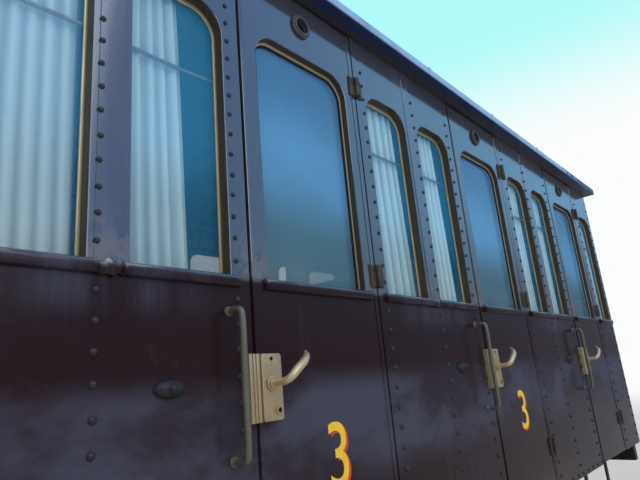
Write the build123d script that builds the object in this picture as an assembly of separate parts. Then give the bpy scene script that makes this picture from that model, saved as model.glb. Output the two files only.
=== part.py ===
"""Riveted steel passenger coach on two bogies, with a side door in every bay.

X runs along the coach, -Y is the side that faces the viewer and +Z is up. The origin lies under the
middle of the coach, level with the lowest points of the wheel flanges. Sizes are in millimetres.
"""

from build123d import *
from collections import namedtuple
import math
import os

SEAT = 0.3  # gap left where one piece rests on another
RUN = 0.06  # radial clearance of a shaft in its bearing
OVERCUT = 2.0  # how far a cutter passes a face

# Body shell
BAY_COUNT = 12
BAY_PITCH = 1640.0
BODY_WIDTH = 2840.0
WALL = 44.0
SIDE_BOTTOM = 1070.0
SIDE_TOP = 3386.0
FLOOR_TOP = 1280.0
FLOOR_THICK = 80.0

# Windows
WINDOW_WIDTH = 335.0
WINDOW_BOTTOM = 2137.0
WINDOW_TOP = 3111.0
WINDOW_CORNER = 100.0
CORNER_FACET_COUNT = 3
PILLAR_WIDTH = 117.0
PANE_THICK = 5.0
PANE_LAP = 12.0

# Side doors
DOOR_WIDTH = 690.0
DOOR_THICK = 38.0
DOOR_GAP = 7.0
DOOR_WINDOW_WIDTH = 530.0
HINGE_OFFSET = 14.0
HINGE_BARREL = 13.0
HINGE_HEIGHT = 95.0
HINGE_LEAF = 8.0
HINGE_REACH = 44.0
HINGE_PLAY = 0.5
HINGE_SPREAD = 893.0
HINGE_MIDDLE = 2212.0
BARREL_SIDES = 6

# Locks, levers and grab rails of the side doors
LOCK_MIDDLE = 1802.0
LOCK_HEIGHT = 200.0
LOCK_PROUD = 27.0
LOCK_WIDTH = 84.0
KEEPER_WIDTH = 47.0
KEEPER_GAP = 6.0
LEVER_IN = 38.0
LEVER_RISE = 10.0
LEVER_STAND = 100.0
LEVER_ROD = 10.0
LEVER_REACH = 124.0
LEVER_LIFT = 93.0
LEVER_BEND = 80.0
LEVER_SAG = 20.0
RAIL_AWAY = 98.0
RAIL_STAND = 62.0
RAIL_ROD = 11.0
RAIL_BOTTOM = 1594.0
RAIL_TOP = 2044.0

# Roof
ROOF_CROWN = 3820.0
ROOF_THICK = 50.0
SHOULDER_IN = 270.0
SHOULDER_DROP = 180.0
EAVES_OVERHANG = 90.0
GUTTER_HEIGHT = 50.0
CORNICE_HEIGHT = 64.0
ROOF_END_OVERHANG = 50.0
VENT_RADIUS = 75.0
VENT_LENGTH = 300.0
VENT_NECK = 50.0
VENT_BASE = 110.0
VENT_SIDES = 8

# Ends
END_DOOR_WIDTH = 700.0
END_DOOR_TOP = 3186.0
END_DOOR_WINDOW_WIDTH = 400.0
PLATE_WIDTH = 680.0
PLATE_LENGTH = 450.0
PLATE_THICK = 12.0
PLATE_AXIS_OUT = 50.0
PLATE_AXIS_UP = 30.0
PLATE_AWAY = 8.0
PLATE_ROD = 10.0
PLATE_EYE = 16.0
PLATE_EAR = 40.0
PLATE_LUG = 20.0

# Underframe, buffers and draw gear
SOLEBAR_IN = 220.0
SOLEBAR_DEPTH = 200.0
SOLEBAR_WIDTH = 90.0
SOLEBAR_WEB = 14.0
SILL_Y = 260.0
SILL_WIDTH = 90.0
CROSSBAR_DEPTH = 80.0
CROSSBAR_WIDTH = 120.0
HEADSTOCK_THICK = 80.0
HEADSTOCK_DEPTH = 270.0
BUFFER_Y = 875.0
BUFFER_HEIGHT = 1080.0
BUFFER_LENGTH = 640.0
BUFFER_HEAD_RADIUS = 225.0
BUFFER_HEAD_THICK = 28.0
BUFFER_ROD = 55.0
BUFFER_CASE_RADIUS = 100.0
BUFFER_CASE_LENGTH = 380.0
BUFFER_BASE = 300.0
BUFFER_BASE_THICK = 24.0
HOOK_LENGTH = 330.0
HOOK_THICK = 60.0
HOOK_BAR = 70.0
HOOK_MOUTH = 70.0

# Gear under the floor, each piece hung from two crossbars, this many bays from the middle
GEAR_BAY_COUNT = 1.5
TANK_RADIUS = 190.0
TANK_Y = 620.0
CRATE_DEPTH = 480.0
CRATE_WIDTH = 420.0
CRATE_IN = 300.0
GEAR_OVERHANG = 90.0
HANGER_WIDTH = 60.0

# Wheelsets
FLANGE_RADIUS = 550.0
TREAD_RADIUS = 520.0
WHEEL_WIDTH = 135.0
FLANGE_WIDTH = 32.0
BACK_TO_BACK = 1360.0
RIM_DEPTH = 62.0
DISH_DEPTH = 38.0
DISH_SIDES = 16
HUB_RADIUS = 130.0
HUB_SIDES = 8
AXLE_RADIUS = 80.0
JOURNAL_RADIUS = 60.0
JOURNAL_END = 1080.0

# Bogies
BOGIE_X = 7150.0
BOGIE_WHEELBASE = 2500.0
FRAME_Y = 960.0
FRAME_PLATE = 25.0
FRAME_TOP = 860.0
END_BEAM_CLEAR = 20.0
BOX_HALF = 130.0
BOX_END = 1110.0
BOX_TOP = 690.0
BOX_BOTTOM = 430.0
BOX_INNER = 890.0
HORN_CLEAR = 6.0
HORN_TOP = 720.0
LEG_WIDTH = 90.0
FRAME_WAIST = 560.0
FRAME_FALL = 90.0
FRAME_STEP = 40.0
BEAM_WIDTH = 80.0
BEAM_DEPTH = 110.0
TRANSOM_X = 330.0
TRANSOM_WIDTH = 90.0
BOLSTER_HALF = 190.0
BOLSTER_DEPTH = 230.0
BOLSTER_DROP = 8.0
PLANK_THICK = 40.0
PIVOT_RADIUS = 50.0
PIVOT_PLATE_RADIUS = 160.0
SPRING_WIDTH = 76.0
LEAF_THICK = 16.0
SPRING_RADIUS = 1900.0
BRAKE_GAP = 7.0
BRAKE_BLOCK_THICK = 48.0
BRAKE_BLOCK_WIDTH = 78.0
BRAKE_BLOCK_ARC = 44.0
BRAKE_BEAM = 60.0
BRAKE_LINK = 24.0
BRAKE_LINK_TOP = 800.0

# Steps under the doors
STEP_LENGTH = 640.0
STEP_OUT = 80.0
STEP_THICK = 28.0
STEP_UPPER = 800.0
STEP_LOWER = 455.0
STRAP_WIDTH = 50.0
STRAP_THICK = 12.0

# Inside
AISLE_HALF = 400.0
SEAT_HEIGHT = 430.0
SEAT_DEPTH = 400.0
SEAT_THICK = 36.0
BACK_THICK = 60.0
BACK_HEIGHT = 1080.0
BENCH_CLEAR = 6.0
RACK_RISE = 54.0
RACK_DEPTH = 300.0
RACK_THICK = 26.0
CURTAIN_THICK = 16.0

END_X = BAY_COUNT * BAY_PITCH / 2
OUTER_Y = BODY_WIDTH / 2
INNER_Y = OUTER_Y - WALL
SHOULDER_Y = OUTER_Y - SHOULDER_IN
SHOULDER_Z = ROOF_CROWN - SHOULDER_DROP
SOLEBAR_Y = OUTER_Y - SOLEBAR_IN
FLOOR_BOTTOM = FLOOR_TOP - FLOOR_THICK
OPENING_HALF = DOOR_WIDTH / 2 + DOOR_GAP
PANEL_HALF = BAY_PITCH / 2 - OPENING_HALF
WINDOW_X = (PILLAR_WIDTH + WINDOW_WIDTH) / 2
HINGE_X = DOOR_WIDTH / 2 + DOOR_GAP / 2
HINGE_Y = -(OUTER_Y + HINGE_OFFSET)
HINGE_LEVELS = [HINGE_MIDDLE + step * HINGE_SPREAD for step in (-1, 0, 1)]
DOOR_CENTRES = [-END_X + (bay + 0.5) * BAY_PITCH for bay in range(BAY_COUNT)]
BAY_LINES = [-END_X + bay * BAY_PITCH for bay in range(BAY_COUNT + 1)]
AXLE_HEIGHT = FLANGE_RADIUS
# The edge of a post strap, from the hinge's axis, that just clears the barrel as it turns
POST_STRAP_FROM = math.sqrt((HINGE_BARREL + HINGE_PLAY) ** 2 - (HINGE_OFFSET - HINGE_LEAF) ** 2)

nodes = {}


def block(x, y, z):
    """A box from the first to the second place along each axis."""
    spans = (x, y, z)
    middle = [(low + high) / 2 for low, high in spans]
    return Pos(*middle) * Box(*[high - low for low, high in spans])


def turned(shape):
    """The like piece half a turn round the coach's upright middle line."""
    return Rot(0, 0, 180) * shape


def shifted(shape, x=0.0, y=0.0, z=0.0):
    return Pos(x, y, z) * shape


def both_sides(shapes):
    """The pieces of the near side and their like on the far side."""
    return shapes + [turned(shape) for shape in shapes]


def face_of(*lines):
    return make_face([edge for line in lines for edge in line.edges()])


def polygon(points):
    return face_of(Polyline(*points, close=True))


def along_coach(face, x_from, x_to):
    """Extrude a face drawn in Y and Z from one station to another."""
    return extrude(Plane.YZ.offset(x_from) * face, amount=x_to - x_from, dir=(1, 0, 0))


def across_coach(face, y_from, y_to):
    """Extrude a face drawn in X and Z from one distance off the middle to another."""
    upright = Plane(origin=(0, y_from, 0), x_dir=(1, 0, 0), z_dir=(0, -1, 0))
    return extrude(upright * face, amount=y_to - y_from, dir=(0, 1, 0))


def upwards(face, z_from, z_to):
    return extrude(Pos(0, 0, z_from) * face, amount=z_to - z_from, dir=(0, 0, 1))


def rod_along_y(radius, y_from, y_to, x=0.0, z=0.0):
    middle = (y_from + y_to) / 2
    return Pos(x, middle, z) * Rot(90, 0, 0) * Cylinder(radius, abs(y_to - y_from))


def rod_along_x(radius, x_from, x_to, y=0.0, z=0.0):
    middle = (x_from + x_to) / 2
    return Pos(middle, y, z) * Rot(0, 90, 0) * Cylinder(radius, abs(x_to - x_from))


def window_hole(x, width, y_outer, y_inner):
    """A cutter for a window with square lower corners and upper ones rounded in a few facets."""
    turn = math.pi / 2 / CORNER_FACET_COUNT
    side = [(width / 2, WINDOW_BOTTOM)]
    for step in range(CORNER_FACET_COUNT + 1):
        across = width / 2 - WINDOW_CORNER * (1 - math.cos(step * turn))
        up = WINDOW_TOP - WINDOW_CORNER * (1 - math.sin(step * turn))
        side.append((across, up))
    other_side = [(-across, up) for across, up in reversed(side)]
    hole = across_coach(polygon(side + other_side), y_outer - OVERCUT, y_inner + OVERCUT)
    return shifted(hole, x)


def window_pane(x, width, wall_y):
    """A pane seated behind a window, a little larger than its hole."""
    across = (x - width / 2 - PANE_LAP, x + width / 2 + PANE_LAP)
    depth = (wall_y + SEAT, wall_y + SEAT + PANE_THICK)
    return block(across, depth, (WINDOW_BOTTOM - PANE_LAP, WINDOW_TOP + PANE_LAP))


def side_panel(x_from, x_to, window_places):
    panel = block((x_from, x_to), (-OUTER_Y, -INNER_Y), (SIDE_BOTTOM, SIDE_TOP))
    for place in window_places:
        panel -= window_hole(place, WINDOW_WIDTH, -OUTER_Y, -INNER_Y)
    return panel


def side_wall():
    """The wall sections between the doors of the near side, half ones at the ends."""
    section = side_panel(-PANEL_HALF, PANEL_HALF, (-WINDOW_X, WINDOW_X))
    first = side_panel(0, PANEL_HALF, (WINDOW_X,))
    last = side_panel(-PANEL_HALF, 0, (-WINDOW_X,))
    walls = [shifted(first, BAY_LINES[0]), shifted(last, BAY_LINES[-1])]
    return walls + [shifted(section, line) for line in BAY_LINES[1:-1]]


def window_places():
    """The middle of every window between the doors of one side."""
    right = [line + WINDOW_X for line in BAY_LINES[:-1]]
    left = [line - WINDOW_X for line in BAY_LINES[1:]]
    return sorted(right + left)


nodes["side_wall_near"] = side_wall()
nodes["side_wall_far"] = [turned(wall) for wall in side_wall()]
pane = window_pane(0, WINDOW_WIDTH, -INNER_Y)
nodes["window_panes"] = both_sides([shifted(pane, place) for place in window_places()])
curtain_y = -INNER_Y + SEAT + PANE_THICK + SEAT
curtain = block(
    (-WINDOW_WIDTH / 2, WINDOW_WIDTH / 2),
    (curtain_y, curtain_y + CURTAIN_THICK),
    (WINDOW_BOTTOM, WINDOW_TOP),
)
nodes["curtains"] = both_sides([shifted(curtain, place) for place in window_places()])

# Roof
shoulder_angle = 2 * math.atan(SHOULDER_DROP / SHOULDER_Y)
eaves_y = OUTER_Y + EAVES_OVERHANG
gutter_top = SIDE_TOP + GUTTER_HEIGHT
cornice_top = SIDE_TOP + CORNICE_HEIGHT
roof_end = END_X + ROOF_END_OVERHANG


def shoulder(depth):
    """Where the crown sheet meets the eaves sheet, this deep below the roof's top face."""
    return (
        SHOULDER_Y - depth * math.sin(shoulder_angle),
        SHOULDER_Z - depth * math.cos(shoulder_angle),
    )


def crown_arc(depth):
    y, z = shoulder(depth)
    return ThreePointArc((-y, z), (0, ROOF_CROWN - depth), (y, z))


def eaves_arc(depth, end):
    falling = (math.cos(shoulder_angle), -math.sin(shoulder_angle))
    return TangentArc(shoulder(depth), end, tangent=falling)


def crown_sheet():
    outer, inner = shoulder(0), shoulder(ROOF_THICK)
    mirrored = [(-y, z) for y, z in (outer, inner)]
    section = face_of(
        crown_arc(0), Line(outer, inner), crown_arc(ROOF_THICK), Line(*mirrored)
    )
    return along_coach(section, -roof_end, roof_end)


def eaves_sheet():
    """The sheet beside the crown sheet with the gutter and cornice below it."""
    gutter = (eaves_y, gutter_top)
    foot = [gutter, (eaves_y, SIDE_TOP), (INNER_Y, SIDE_TOP), (INNER_Y, cornice_top)]
    section = face_of(
        eaves_arc(0, gutter),
        Polyline(*foot),
        eaves_arc(ROOF_THICK, foot[-1]),
        Line(shoulder(ROOF_THICK), shoulder(0)),
    )
    return along_coach(section, -roof_end, roof_end)


nodes["roof_crown"] = [crown_sheet()]
nodes["roof_eaves"] = both_sides([eaves_sheet()])

# Roof ventilators
vent_line = ROOF_CROWN + VENT_NECK + VENT_RADIUS
vent_neck = block(
    (-VENT_BASE / 2, VENT_BASE / 2),
    (-VENT_BASE / 2, VENT_BASE / 2),
    (ROOF_CROWN + SEAT, vent_line),
)
vent_body = along_coach(
    RegularPolygon(VENT_RADIUS, VENT_SIDES), -VENT_LENGTH / 2, VENT_LENGTH / 2
)
ventilator = vent_neck + shifted(vent_body, z=vent_line)
nodes["roof_ventilators"] = [shifted(ventilator, x) for x in BAY_LINES[1:-1:2]]


# Floor, ends and inside
nodes["floor"] = [
    block((-END_X + WALL, END_X - WALL), (-INNER_Y, INNER_Y), (FLOOR_BOTTOM, FLOOR_TOP))
]
plate_axis_x = END_X + PLATE_AXIS_OUT
plate_axis_z = FLOOR_TOP + PLATE_AXIS_UP
end_door_half = END_DOOR_WIDTH / 2
end_hinge_y = end_door_half + DOOR_GAP / 2
END_HINGE_LEVELS = (FLOOR_TOP + HINGE_HEIGHT * 2, END_DOOR_TOP - HINGE_HEIGHT * 2)


def end_wall():
    """The wall of the +X end, under the roof's curve, with its doorway and hinge lugs."""
    below = ROOF_THICK + SEAT
    side = INNER_Y - SEAT
    top = cornice_top - SEAT
    walls = [(side, top), (side, FLOOR_BOTTOM), (-side, FLOOR_BOTTOM), (-side, top)]
    arc = eaves_arc(below, (side, top))
    section = face_of(crown_arc(below), arc, mirror(arc, Plane.YZ), Polyline(*walls))
    wall = along_coach(section, END_X - WALL, END_X)
    doorway = end_door_half + DOOR_GAP
    wall -= block(
        (END_X - WALL - OVERCUT, END_X + OVERCUT),
        (-doorway, doorway),
        (FLOOR_TOP, END_DOOR_TOP + DOOR_GAP),
    )
    lug_from = PLATE_WIDTH / 2 + SEAT
    wall += rod_along_y(PLATE_ROD, -lug_from, lug_from, plate_axis_x, plate_axis_z)
    for side_of in (-1, 1):
        wall += block(
            (END_X, plate_axis_x + PLATE_EYE),
            sorted((side_of * lug_from, side_of * (lug_from + PLATE_LUG))),
            (plate_axis_z - PLATE_EYE, plate_axis_z + PLATE_EYE),
        )
    for level in END_HINGE_LEVELS:
        wall += block(
            (END_X - WALL - HINGE_LEAF, END_X - WALL),
            (end_hinge_y + POST_STRAP_FROM, end_hinge_y + HINGE_REACH),
            (level - HINGE_HEIGHT / 2, level + HINGE_HEIGHT / 2),
        )
    return wall


nodes["end_walls"] = both_sides([end_wall()])


def bench_row(line, facings):
    """The benches of the near side at one bay line: a back with a seat on each facing side."""
    near = (curtain_y + CURTAIN_THICK + BENCH_CLEAR, -AISLE_HALF)
    inwards = 0 if len(facings) == 2 else facings[0] * (BACK_THICK / 2 + WALL + SEAT)
    back_x = line + inwards
    half = BACK_THICK / 2
    row = [
        block(
            (back_x - half, back_x + half), near, (FLOOR_TOP + SEAT, FLOOR_TOP + BACK_HEIGHT)
        )
    ]
    level = FLOOR_TOP + SEAT_HEIGHT
    for facing in facings:
        reach = sorted((back_x + facing * (half + SEAT), back_x + facing * (half + SEAT_DEPTH)))
        row.append(block(reach, near, (level - SEAT_THICK, level)))
    return row


benches = bench_row(BAY_LINES[0], (1,)) + bench_row(BAY_LINES[-1], (-1,))
for line in BAY_LINES[1:-1]:
    benches += bench_row(line, (-1, 1))
nodes["benches"] = both_sides(benches)

rack_edges = (-INNER_Y + SEAT, -INNER_Y + SEAT + RACK_DEPTH)
rack_bottom = WINDOW_TOP + RACK_RISE
racks = []
for line in BAY_LINES:
    rack_x = (
        max(line - PANEL_HALF, -END_X + WALL + SEAT),
        min(line + PANEL_HALF, END_X - WALL - SEAT),
    )
    racks.append(block(rack_x, rack_edges, (rack_bottom, rack_bottom + RACK_THICK)))
nodes["luggage_racks"] = both_sides(racks)


# Side doors
def hinge_strap(x_from, x_to):
    """A hinge leaf flat on the near side's outer face."""
    return block(
        (x_from, x_to),
        (-OUTER_Y - HINGE_LEAF, -OUTER_Y),
        (-HINGE_HEIGHT / 2, HINGE_HEIGHT / 2),
    )


def hinge_barrel(x, y, level):
    """A barrel with one of its flat sides towards the post strap."""
    ring = Pos(x, y) * RegularPolygon(HINGE_BARREL, BARREL_SIDES, rotation=180 / BARREL_SIDES)
    return upwards(ring, level - HINGE_HEIGHT / 2, level + HINGE_HEIGHT / 2)


def door_lever(door_left):
    """The handle: a spindle straight out of the lock and an arm that bends upwards."""
    foot = -(OUTER_Y + LOCK_PROUD + SEAT)
    tip = -(OUTER_Y + LEVER_STAND)
    rod = LEVER_ROD
    spindle = block((-rod, rod), (tip, foot), (-rod, rod))
    arm = polygon(
        [
            (-rod, -rod),
            (LEVER_BEND, LEVER_SAG),
            (LEVER_REACH, LEVER_LIFT - rod),
            (LEVER_REACH - rod, LEVER_LIFT),
            (LEVER_BEND - rod, LEVER_SAG + 2 * rod),
            (-rod, rod),
        ]
    )
    lever = spindle + across_coach(arm, tip, tip + 2 * rod)
    return shifted(lever, door_left + LEVER_IN, z=LOCK_MIDDLE + LEVER_RISE)


def side_door():
    """A near side door about its own middle: leaf with straps and lock, lever and pane."""
    half = DOOR_WIDTH / 2
    inner = -OUTER_Y + DOOR_THICK
    leaf = block(
        (-half, half), (-OUTER_Y, inner), (SIDE_BOTTOM + DOOR_GAP, SIDE_TOP - DOOR_GAP)
    )
    leaf -= window_hole(0, DOOR_WINDOW_WIDTH, -OUTER_Y, inner)
    leaf += block(
        (-half, -half + LOCK_WIDTH),
        (-OUTER_Y - LOCK_PROUD, -OUTER_Y),
        (LOCK_MIDDLE - LOCK_HEIGHT / 2, LOCK_MIDDLE + LOCK_HEIGHT / 2),
    )
    strap = hinge_strap(HINGE_X - HINGE_REACH, HINGE_X - DOOR_GAP / 2)
    for level in HINGE_LEVELS:
        leaf += shifted(strap, z=level)
        leaf += hinge_barrel(HINGE_X, HINGE_Y, level)
    return [leaf, door_lever(-half), window_pane(0, DOOR_WINDOW_WIDTH, inner)]


door_pieces = side_door()
for number, centre in enumerate(DOOR_CENTRES, start=1):
    placed = [shifted(piece, centre) for piece in door_pieces]
    nodes[f"door_near_{number:02d}"] = placed
    nodes[f"door_far_{number:02d}"] = [turned(piece) for piece in placed]

post_strap = hinge_strap(HINGE_X + POST_STRAP_FROM, HINGE_X + HINGE_REACH)
nodes["hinge_post_straps"] = both_sides(
    [shifted(post_strap, x, z=level) for x in DOOR_CENTRES for level in HINGE_LEVELS]
)
keeper_right = -OPENING_HALF
keeper = block(
    (keeper_right - KEEPER_WIDTH + KEEPER_GAP, keeper_right),
    (-OUTER_Y - LOCK_PROUD, -OUTER_Y),
    (LOCK_MIDDLE - LOCK_HEIGHT / 2, LOCK_MIDDLE + LOCK_HEIGHT / 2),
)
nodes["lock_keepers"] = both_sides([shifted(keeper, x) for x in DOOR_CENTRES])


def grab_rail():
    """The upright bar beside a door's lock, bent in at both ends to stand on the wall."""
    x = -DOOR_WIDTH / 2 - RAIL_AWAY
    front = -OUTER_Y - RAIL_STAND - RAIL_ROD
    back = front + 2 * RAIL_ROD
    staple = polygon(
        [
            (-OUTER_Y, RAIL_BOTTOM),
            (front, RAIL_BOTTOM),
            (front, RAIL_TOP),
            (-OUTER_Y, RAIL_TOP),
            (-OUTER_Y, RAIL_TOP - 2 * RAIL_ROD),
            (back, RAIL_TOP - 2 * RAIL_ROD),
            (back, RAIL_BOTTOM + 2 * RAIL_ROD),
            (-OUTER_Y, RAIL_BOTTOM + 2 * RAIL_ROD),
        ]
    )
    return along_coach(staple, x - RAIL_ROD, x + RAIL_ROD)


nodes["grab_rails"] = both_sides([shifted(grab_rail(), x) for x in DOOR_CENTRES])


# End doors and the fall plates over the couplings
def end_door():
    """The gangway door of the +X end, hung on the inner face of the wall."""
    front = -(END_X - WALL) - DOOR_THICK
    leaf = block(
        (-end_door_half, end_door_half),
        (front, front + DOOR_THICK),
        (FLOOR_TOP + DOOR_GAP, END_DOOR_TOP),
    )
    leaf -= window_hole(0, END_DOOR_WINDOW_WIDTH, front, front + DOOR_THICK)
    back = front + DOOR_THICK
    for level in END_HINGE_LEVELS:
        z = (level - HINGE_HEIGHT / 2, level + HINGE_HEIGHT / 2)
        leaf += hinge_barrel(end_hinge_y, back + HINGE_OFFSET, level)
        leaf += block(
            (end_door_half - HINGE_REACH, end_door_half), (back, back + HINGE_LEAF), z
        )
    glass = window_pane(0, END_DOOR_WINDOW_WIDTH, back)
    return [Rot(0, 0, 90) * piece for piece in (leaf, glass)]


def fall_plate():
    """The hinged plate of the +X end, folded up against the doorway."""
    half = PLATE_WIDTH / 2
    sheet_x = (END_X + PLATE_AWAY, END_X + PLATE_AWAY + PLATE_THICK)
    foot = plate_axis_z + PLATE_EYE
    plate = block(sheet_x, (-half, half), (foot, foot + PLATE_LENGTH))
    for side_of in (-1, 1):
        ear_y = sorted((side_of * half, side_of * (half - PLATE_EAR)))
        ear = block(
            (sheet_x[0], plate_axis_x + PLATE_EYE),
            ear_y,
            (plate_axis_z - PLATE_EYE, foot + PLATE_THICK),
        )
        ear -= rod_along_y(
            PLATE_ROD + RUN, -half - OVERCUT, half + OVERCUT, plate_axis_x, plate_axis_z
        )
        plate += ear
    return plate


end_door_pieces = end_door()
nodes["end_door_right"] = end_door_pieces
nodes["end_door_left"] = [turned(piece) for piece in end_door_pieces]
nodes["fall_plate_right"] = [fall_plate()]
nodes["fall_plate_left"] = [turned(fall_plate())]

# Underframe
SOLEBAR_TOP = FLOOR_BOTTOM
beam_end = END_X - HEADSTOCK_THICK
solebar_bottom = SOLEBAR_TOP - SOLEBAR_DEPTH
half_bar = SOLEBAR_WIDTH / 2
web = SOLEBAR_WEB


def solebar():
    """A channel with its back to the outside and its flanges inwards, on the +Y side."""
    out, into = SOLEBAR_Y + half_bar, SOLEBAR_Y - half_bar
    low, high = solebar_bottom, SOLEBAR_TOP
    section = polygon(
        [
            (out, low),
            (out, high),
            (into, high),
            (into, high - web),
            (out - web, high - web),
            (out - web, low + web),
            (into, low + web),
            (into, low),
        ]
    )
    return along_coach(section, -beam_end, beam_end)


pivot_top = SOLEBAR_TOP - CROSSBAR_DEPTH - SEAT
bolster_top = solebar_bottom - BOLSTER_DROP
crossbar_y = SOLEBAR_Y - half_bar - SEAT


def crossbar(x, width=CROSSBAR_WIDTH):
    return block(
        (x - width / 2, x + width / 2),
        (-crossbar_y, crossbar_y),
        (SOLEBAR_TOP - CROSSBAR_DEPTH, SOLEBAR_TOP),
    )


def centre_sill():
    y = (-SILL_Y - SILL_WIDTH / 2, -SILL_Y + SILL_WIDTH / 2)
    return block((-beam_end, beam_end), y, (solebar_bottom, pivot_top))


def pivot(x):
    """A centre plate under the frame and its pin, which the bogie turns on."""
    disc_z = (bolster_top + SEAT, pivot_top)
    reach = BOLSTER_DEPTH / 2
    disc = Cylinder(PIVOT_PLATE_RADIUS, disc_z[1] - disc_z[0])
    pin = Cylinder(PIVOT_RADIUS, disc_z[0] - (bolster_top - reach))
    pin_z = (disc_z[0] + bolster_top - reach) / 2
    return shifted(disc, x, z=sum(disc_z) / 2) + shifted(pin, x, z=pin_z)


crossbars = [crossbar(x) for x in BAY_LINES[1:-1]]
nodes["solebars"] = [solebar(), turned(solebar())]
nodes["underframe"] = (
    crossbars
    + both_sides([centre_sill()])
    + both_sides([crossbar(BOGIE_X, 2 * BOLSTER_HALF), pivot(BOGIE_X)])
)
nodes["headstocks"] = both_sides(
    [
        block(
            (beam_end, END_X),
            (-INNER_Y + SEAT, INNER_Y - SEAT),
            (SOLEBAR_TOP - HEADSTOCK_DEPTH, SOLEBAR_TOP),
        )
    ]
)


def buffer():
    """One buffer about its own line: base plate, case, rod and flat head."""
    base_end = END_X + BUFFER_BASE_THICK
    case_end = END_X + BUFFER_CASE_LENGTH
    tip = END_X + BUFFER_LENGTH
    head = tip - BUFFER_HEAD_THICK
    outline = [
        (base_end, 0),
        (base_end, BUFFER_CASE_RADIUS),
        (case_end, BUFFER_CASE_RADIUS),
        (case_end, BUFFER_ROD),
        (head, BUFFER_ROD),
        (head, BUFFER_HEAD_RADIUS),
        (tip, BUFFER_HEAD_RADIUS),
        (tip, 0),
    ]
    base = Box(BUFFER_BASE_THICK, BUFFER_BASE, BUFFER_BASE)
    base_middle = END_X + BUFFER_BASE_THICK / 2
    return shifted(
        revolve(polygon(outline), Axis.X) + shifted(base, base_middle), 0, BUFFER_Y, BUFFER_HEIGHT
    )


right_buffers = [buffer(), shifted(buffer(), y=-2 * BUFFER_Y)]
nodes["buffers"] = both_sides(right_buffers)


def draw_hook():
    """The hook of the +X end with its bar, open upwards."""
    tip = END_X + HOOK_LENGTH
    half = HOOK_BAR / 2
    mouth_x = tip - HOOK_MOUTH
    low, high = BUFFER_HEIGHT - half, BUFFER_HEIGHT + half
    point = (tip - half, high + HOOK_MOUTH)
    neck = (mouth_x - HOOK_MOUTH, high)
    outline = face_of(
        Line((END_X, low), (mouth_x, low)),
        ThreePointArc((mouth_x, low), (tip, high), point),
        Line(point, (tip - half, high)),
        ThreePointArc((tip - half, high), (mouth_x, BUFFER_HEIGHT + half / 3), neck),
        Line(neck, (END_X, high)),
        Line((END_X, high), (END_X, low)),
    )
    return across_coach(outline, -HOOK_THICK / 2, HOOK_THICK / 2)


nodes["draw_hooks"] = both_sides([draw_hook()])

# Steps, hung from the solebars
strap_face = SOLEBAR_Y + half_bar + SEAT
board_face = strap_face + STRAP_THICK + SEAT
strap_z = (STEP_LOWER - STEP_THICK, solebar_bottom + SOLEBAR_DEPTH / 2)
steps = []
straps = []
for centre in DOOR_CENTRES:
    half = STEP_LENGTH / 2
    for level in (STEP_UPPER, STEP_LOWER):
        steps.append(
            block(
                (centre - half, centre + half),
                (-OUTER_Y - STEP_OUT, -board_face),
                (level - STEP_THICK, level),
            )
        )
    for middle in (centre - half + STRAP_WIDTH, centre + half - STRAP_WIDTH):
        straps.append(
            block(
                (middle - STRAP_WIDTH / 2, middle + STRAP_WIDTH / 2),
                (-strap_face - STRAP_THICK, -strap_face),
                strap_z,
            )
        )
nodes["footboards"] = both_sides(steps)
nodes["step_straps"] = both_sides(straps)

# Gear under the floor
gear_reach = BAY_PITCH / 2 + GEAR_OVERHANG
gear_x = GEAR_BAY_COUNT * BAY_PITCH
crate_y = SOLEBAR_Y - CRATE_IN


def hung(body, y, low):
    """A piece about one bay's middle with a hanger up to the crossbar at each end of the bay."""
    for x in (-BAY_PITCH / 2, BAY_PITCH / 2):
        body += block(
            (x - HANGER_WIDTH / 2, x + HANGER_WIDTH / 2),
            (y - HANGER_WIDTH / 2, y + HANGER_WIDTH / 2),
            (low, SOLEBAR_TOP - CROSSBAR_DEPTH - SEAT),
        )
    return body


tank_z = solebar_bottom - TANK_RADIUS
tank = rod_along_x(TANK_RADIUS, -gear_reach, gear_reach, TANK_Y, tank_z)
crate = block(
    (-gear_reach, gear_reach),
    (crate_y - CRATE_WIDTH / 2, crate_y + CRATE_WIDTH / 2),
    (solebar_bottom - CRATE_DEPTH, solebar_bottom),
)
nodes["underfloor_gear"] = both_sides(
    [
        shifted(hung(tank, TANK_Y, tank_z), gear_x),
        shifted(hung(crate, crate_y, solebar_bottom - CRATE_DEPTH / 2), -gear_x),
    ]
)


# Wheelsets and bogies, each about its own middle
def disc_along_y(radius, sides, y_from, y_to):
    """A many-sided disc about the axle's line."""
    return across_coach(RegularPolygon(radius, sides), y_from, y_to)


def wheel():
    """The +Y wheel: flange on the inner side, tread, and a web set in behind rim and hub."""
    inner = BACK_TO_BACK / 2
    outer = inner + WHEEL_WIDTH
    web = outer - DISH_DEPTH
    outline = [
        (0, inner),
        (FLANGE_RADIUS, inner),
        (TREAD_RADIUS, inner + FLANGE_WIDTH),
        (TREAD_RADIUS, outer),
        (0, outer),
    ]
    disc = revolve(polygon(outline), Axis.Y)
    disc -= disc_along_y(TREAD_RADIUS - RIM_DEPTH, DISH_SIDES, web, outer + OVERCUT)
    disc += disc_along_y(HUB_RADIUS, HUB_SIDES, web, outer)
    return shifted(disc, z=AXLE_HEIGHT)


def wheelset():
    inner = BACK_TO_BACK / 2
    outer = inner + WHEEL_WIDTH
    near_wheel = wheel()
    return [
        near_wheel,
        turned(near_wheel),
        rod_along_y(AXLE_RADIUS, -inner, inner, z=AXLE_HEIGHT),
        rod_along_y(JOURNAL_RADIUS, outer, JOURNAL_END, z=AXLE_HEIGHT),
        rod_along_y(JOURNAL_RADIUS, -JOURNAL_END, -outer, z=AXLE_HEIGHT),
    ]


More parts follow.
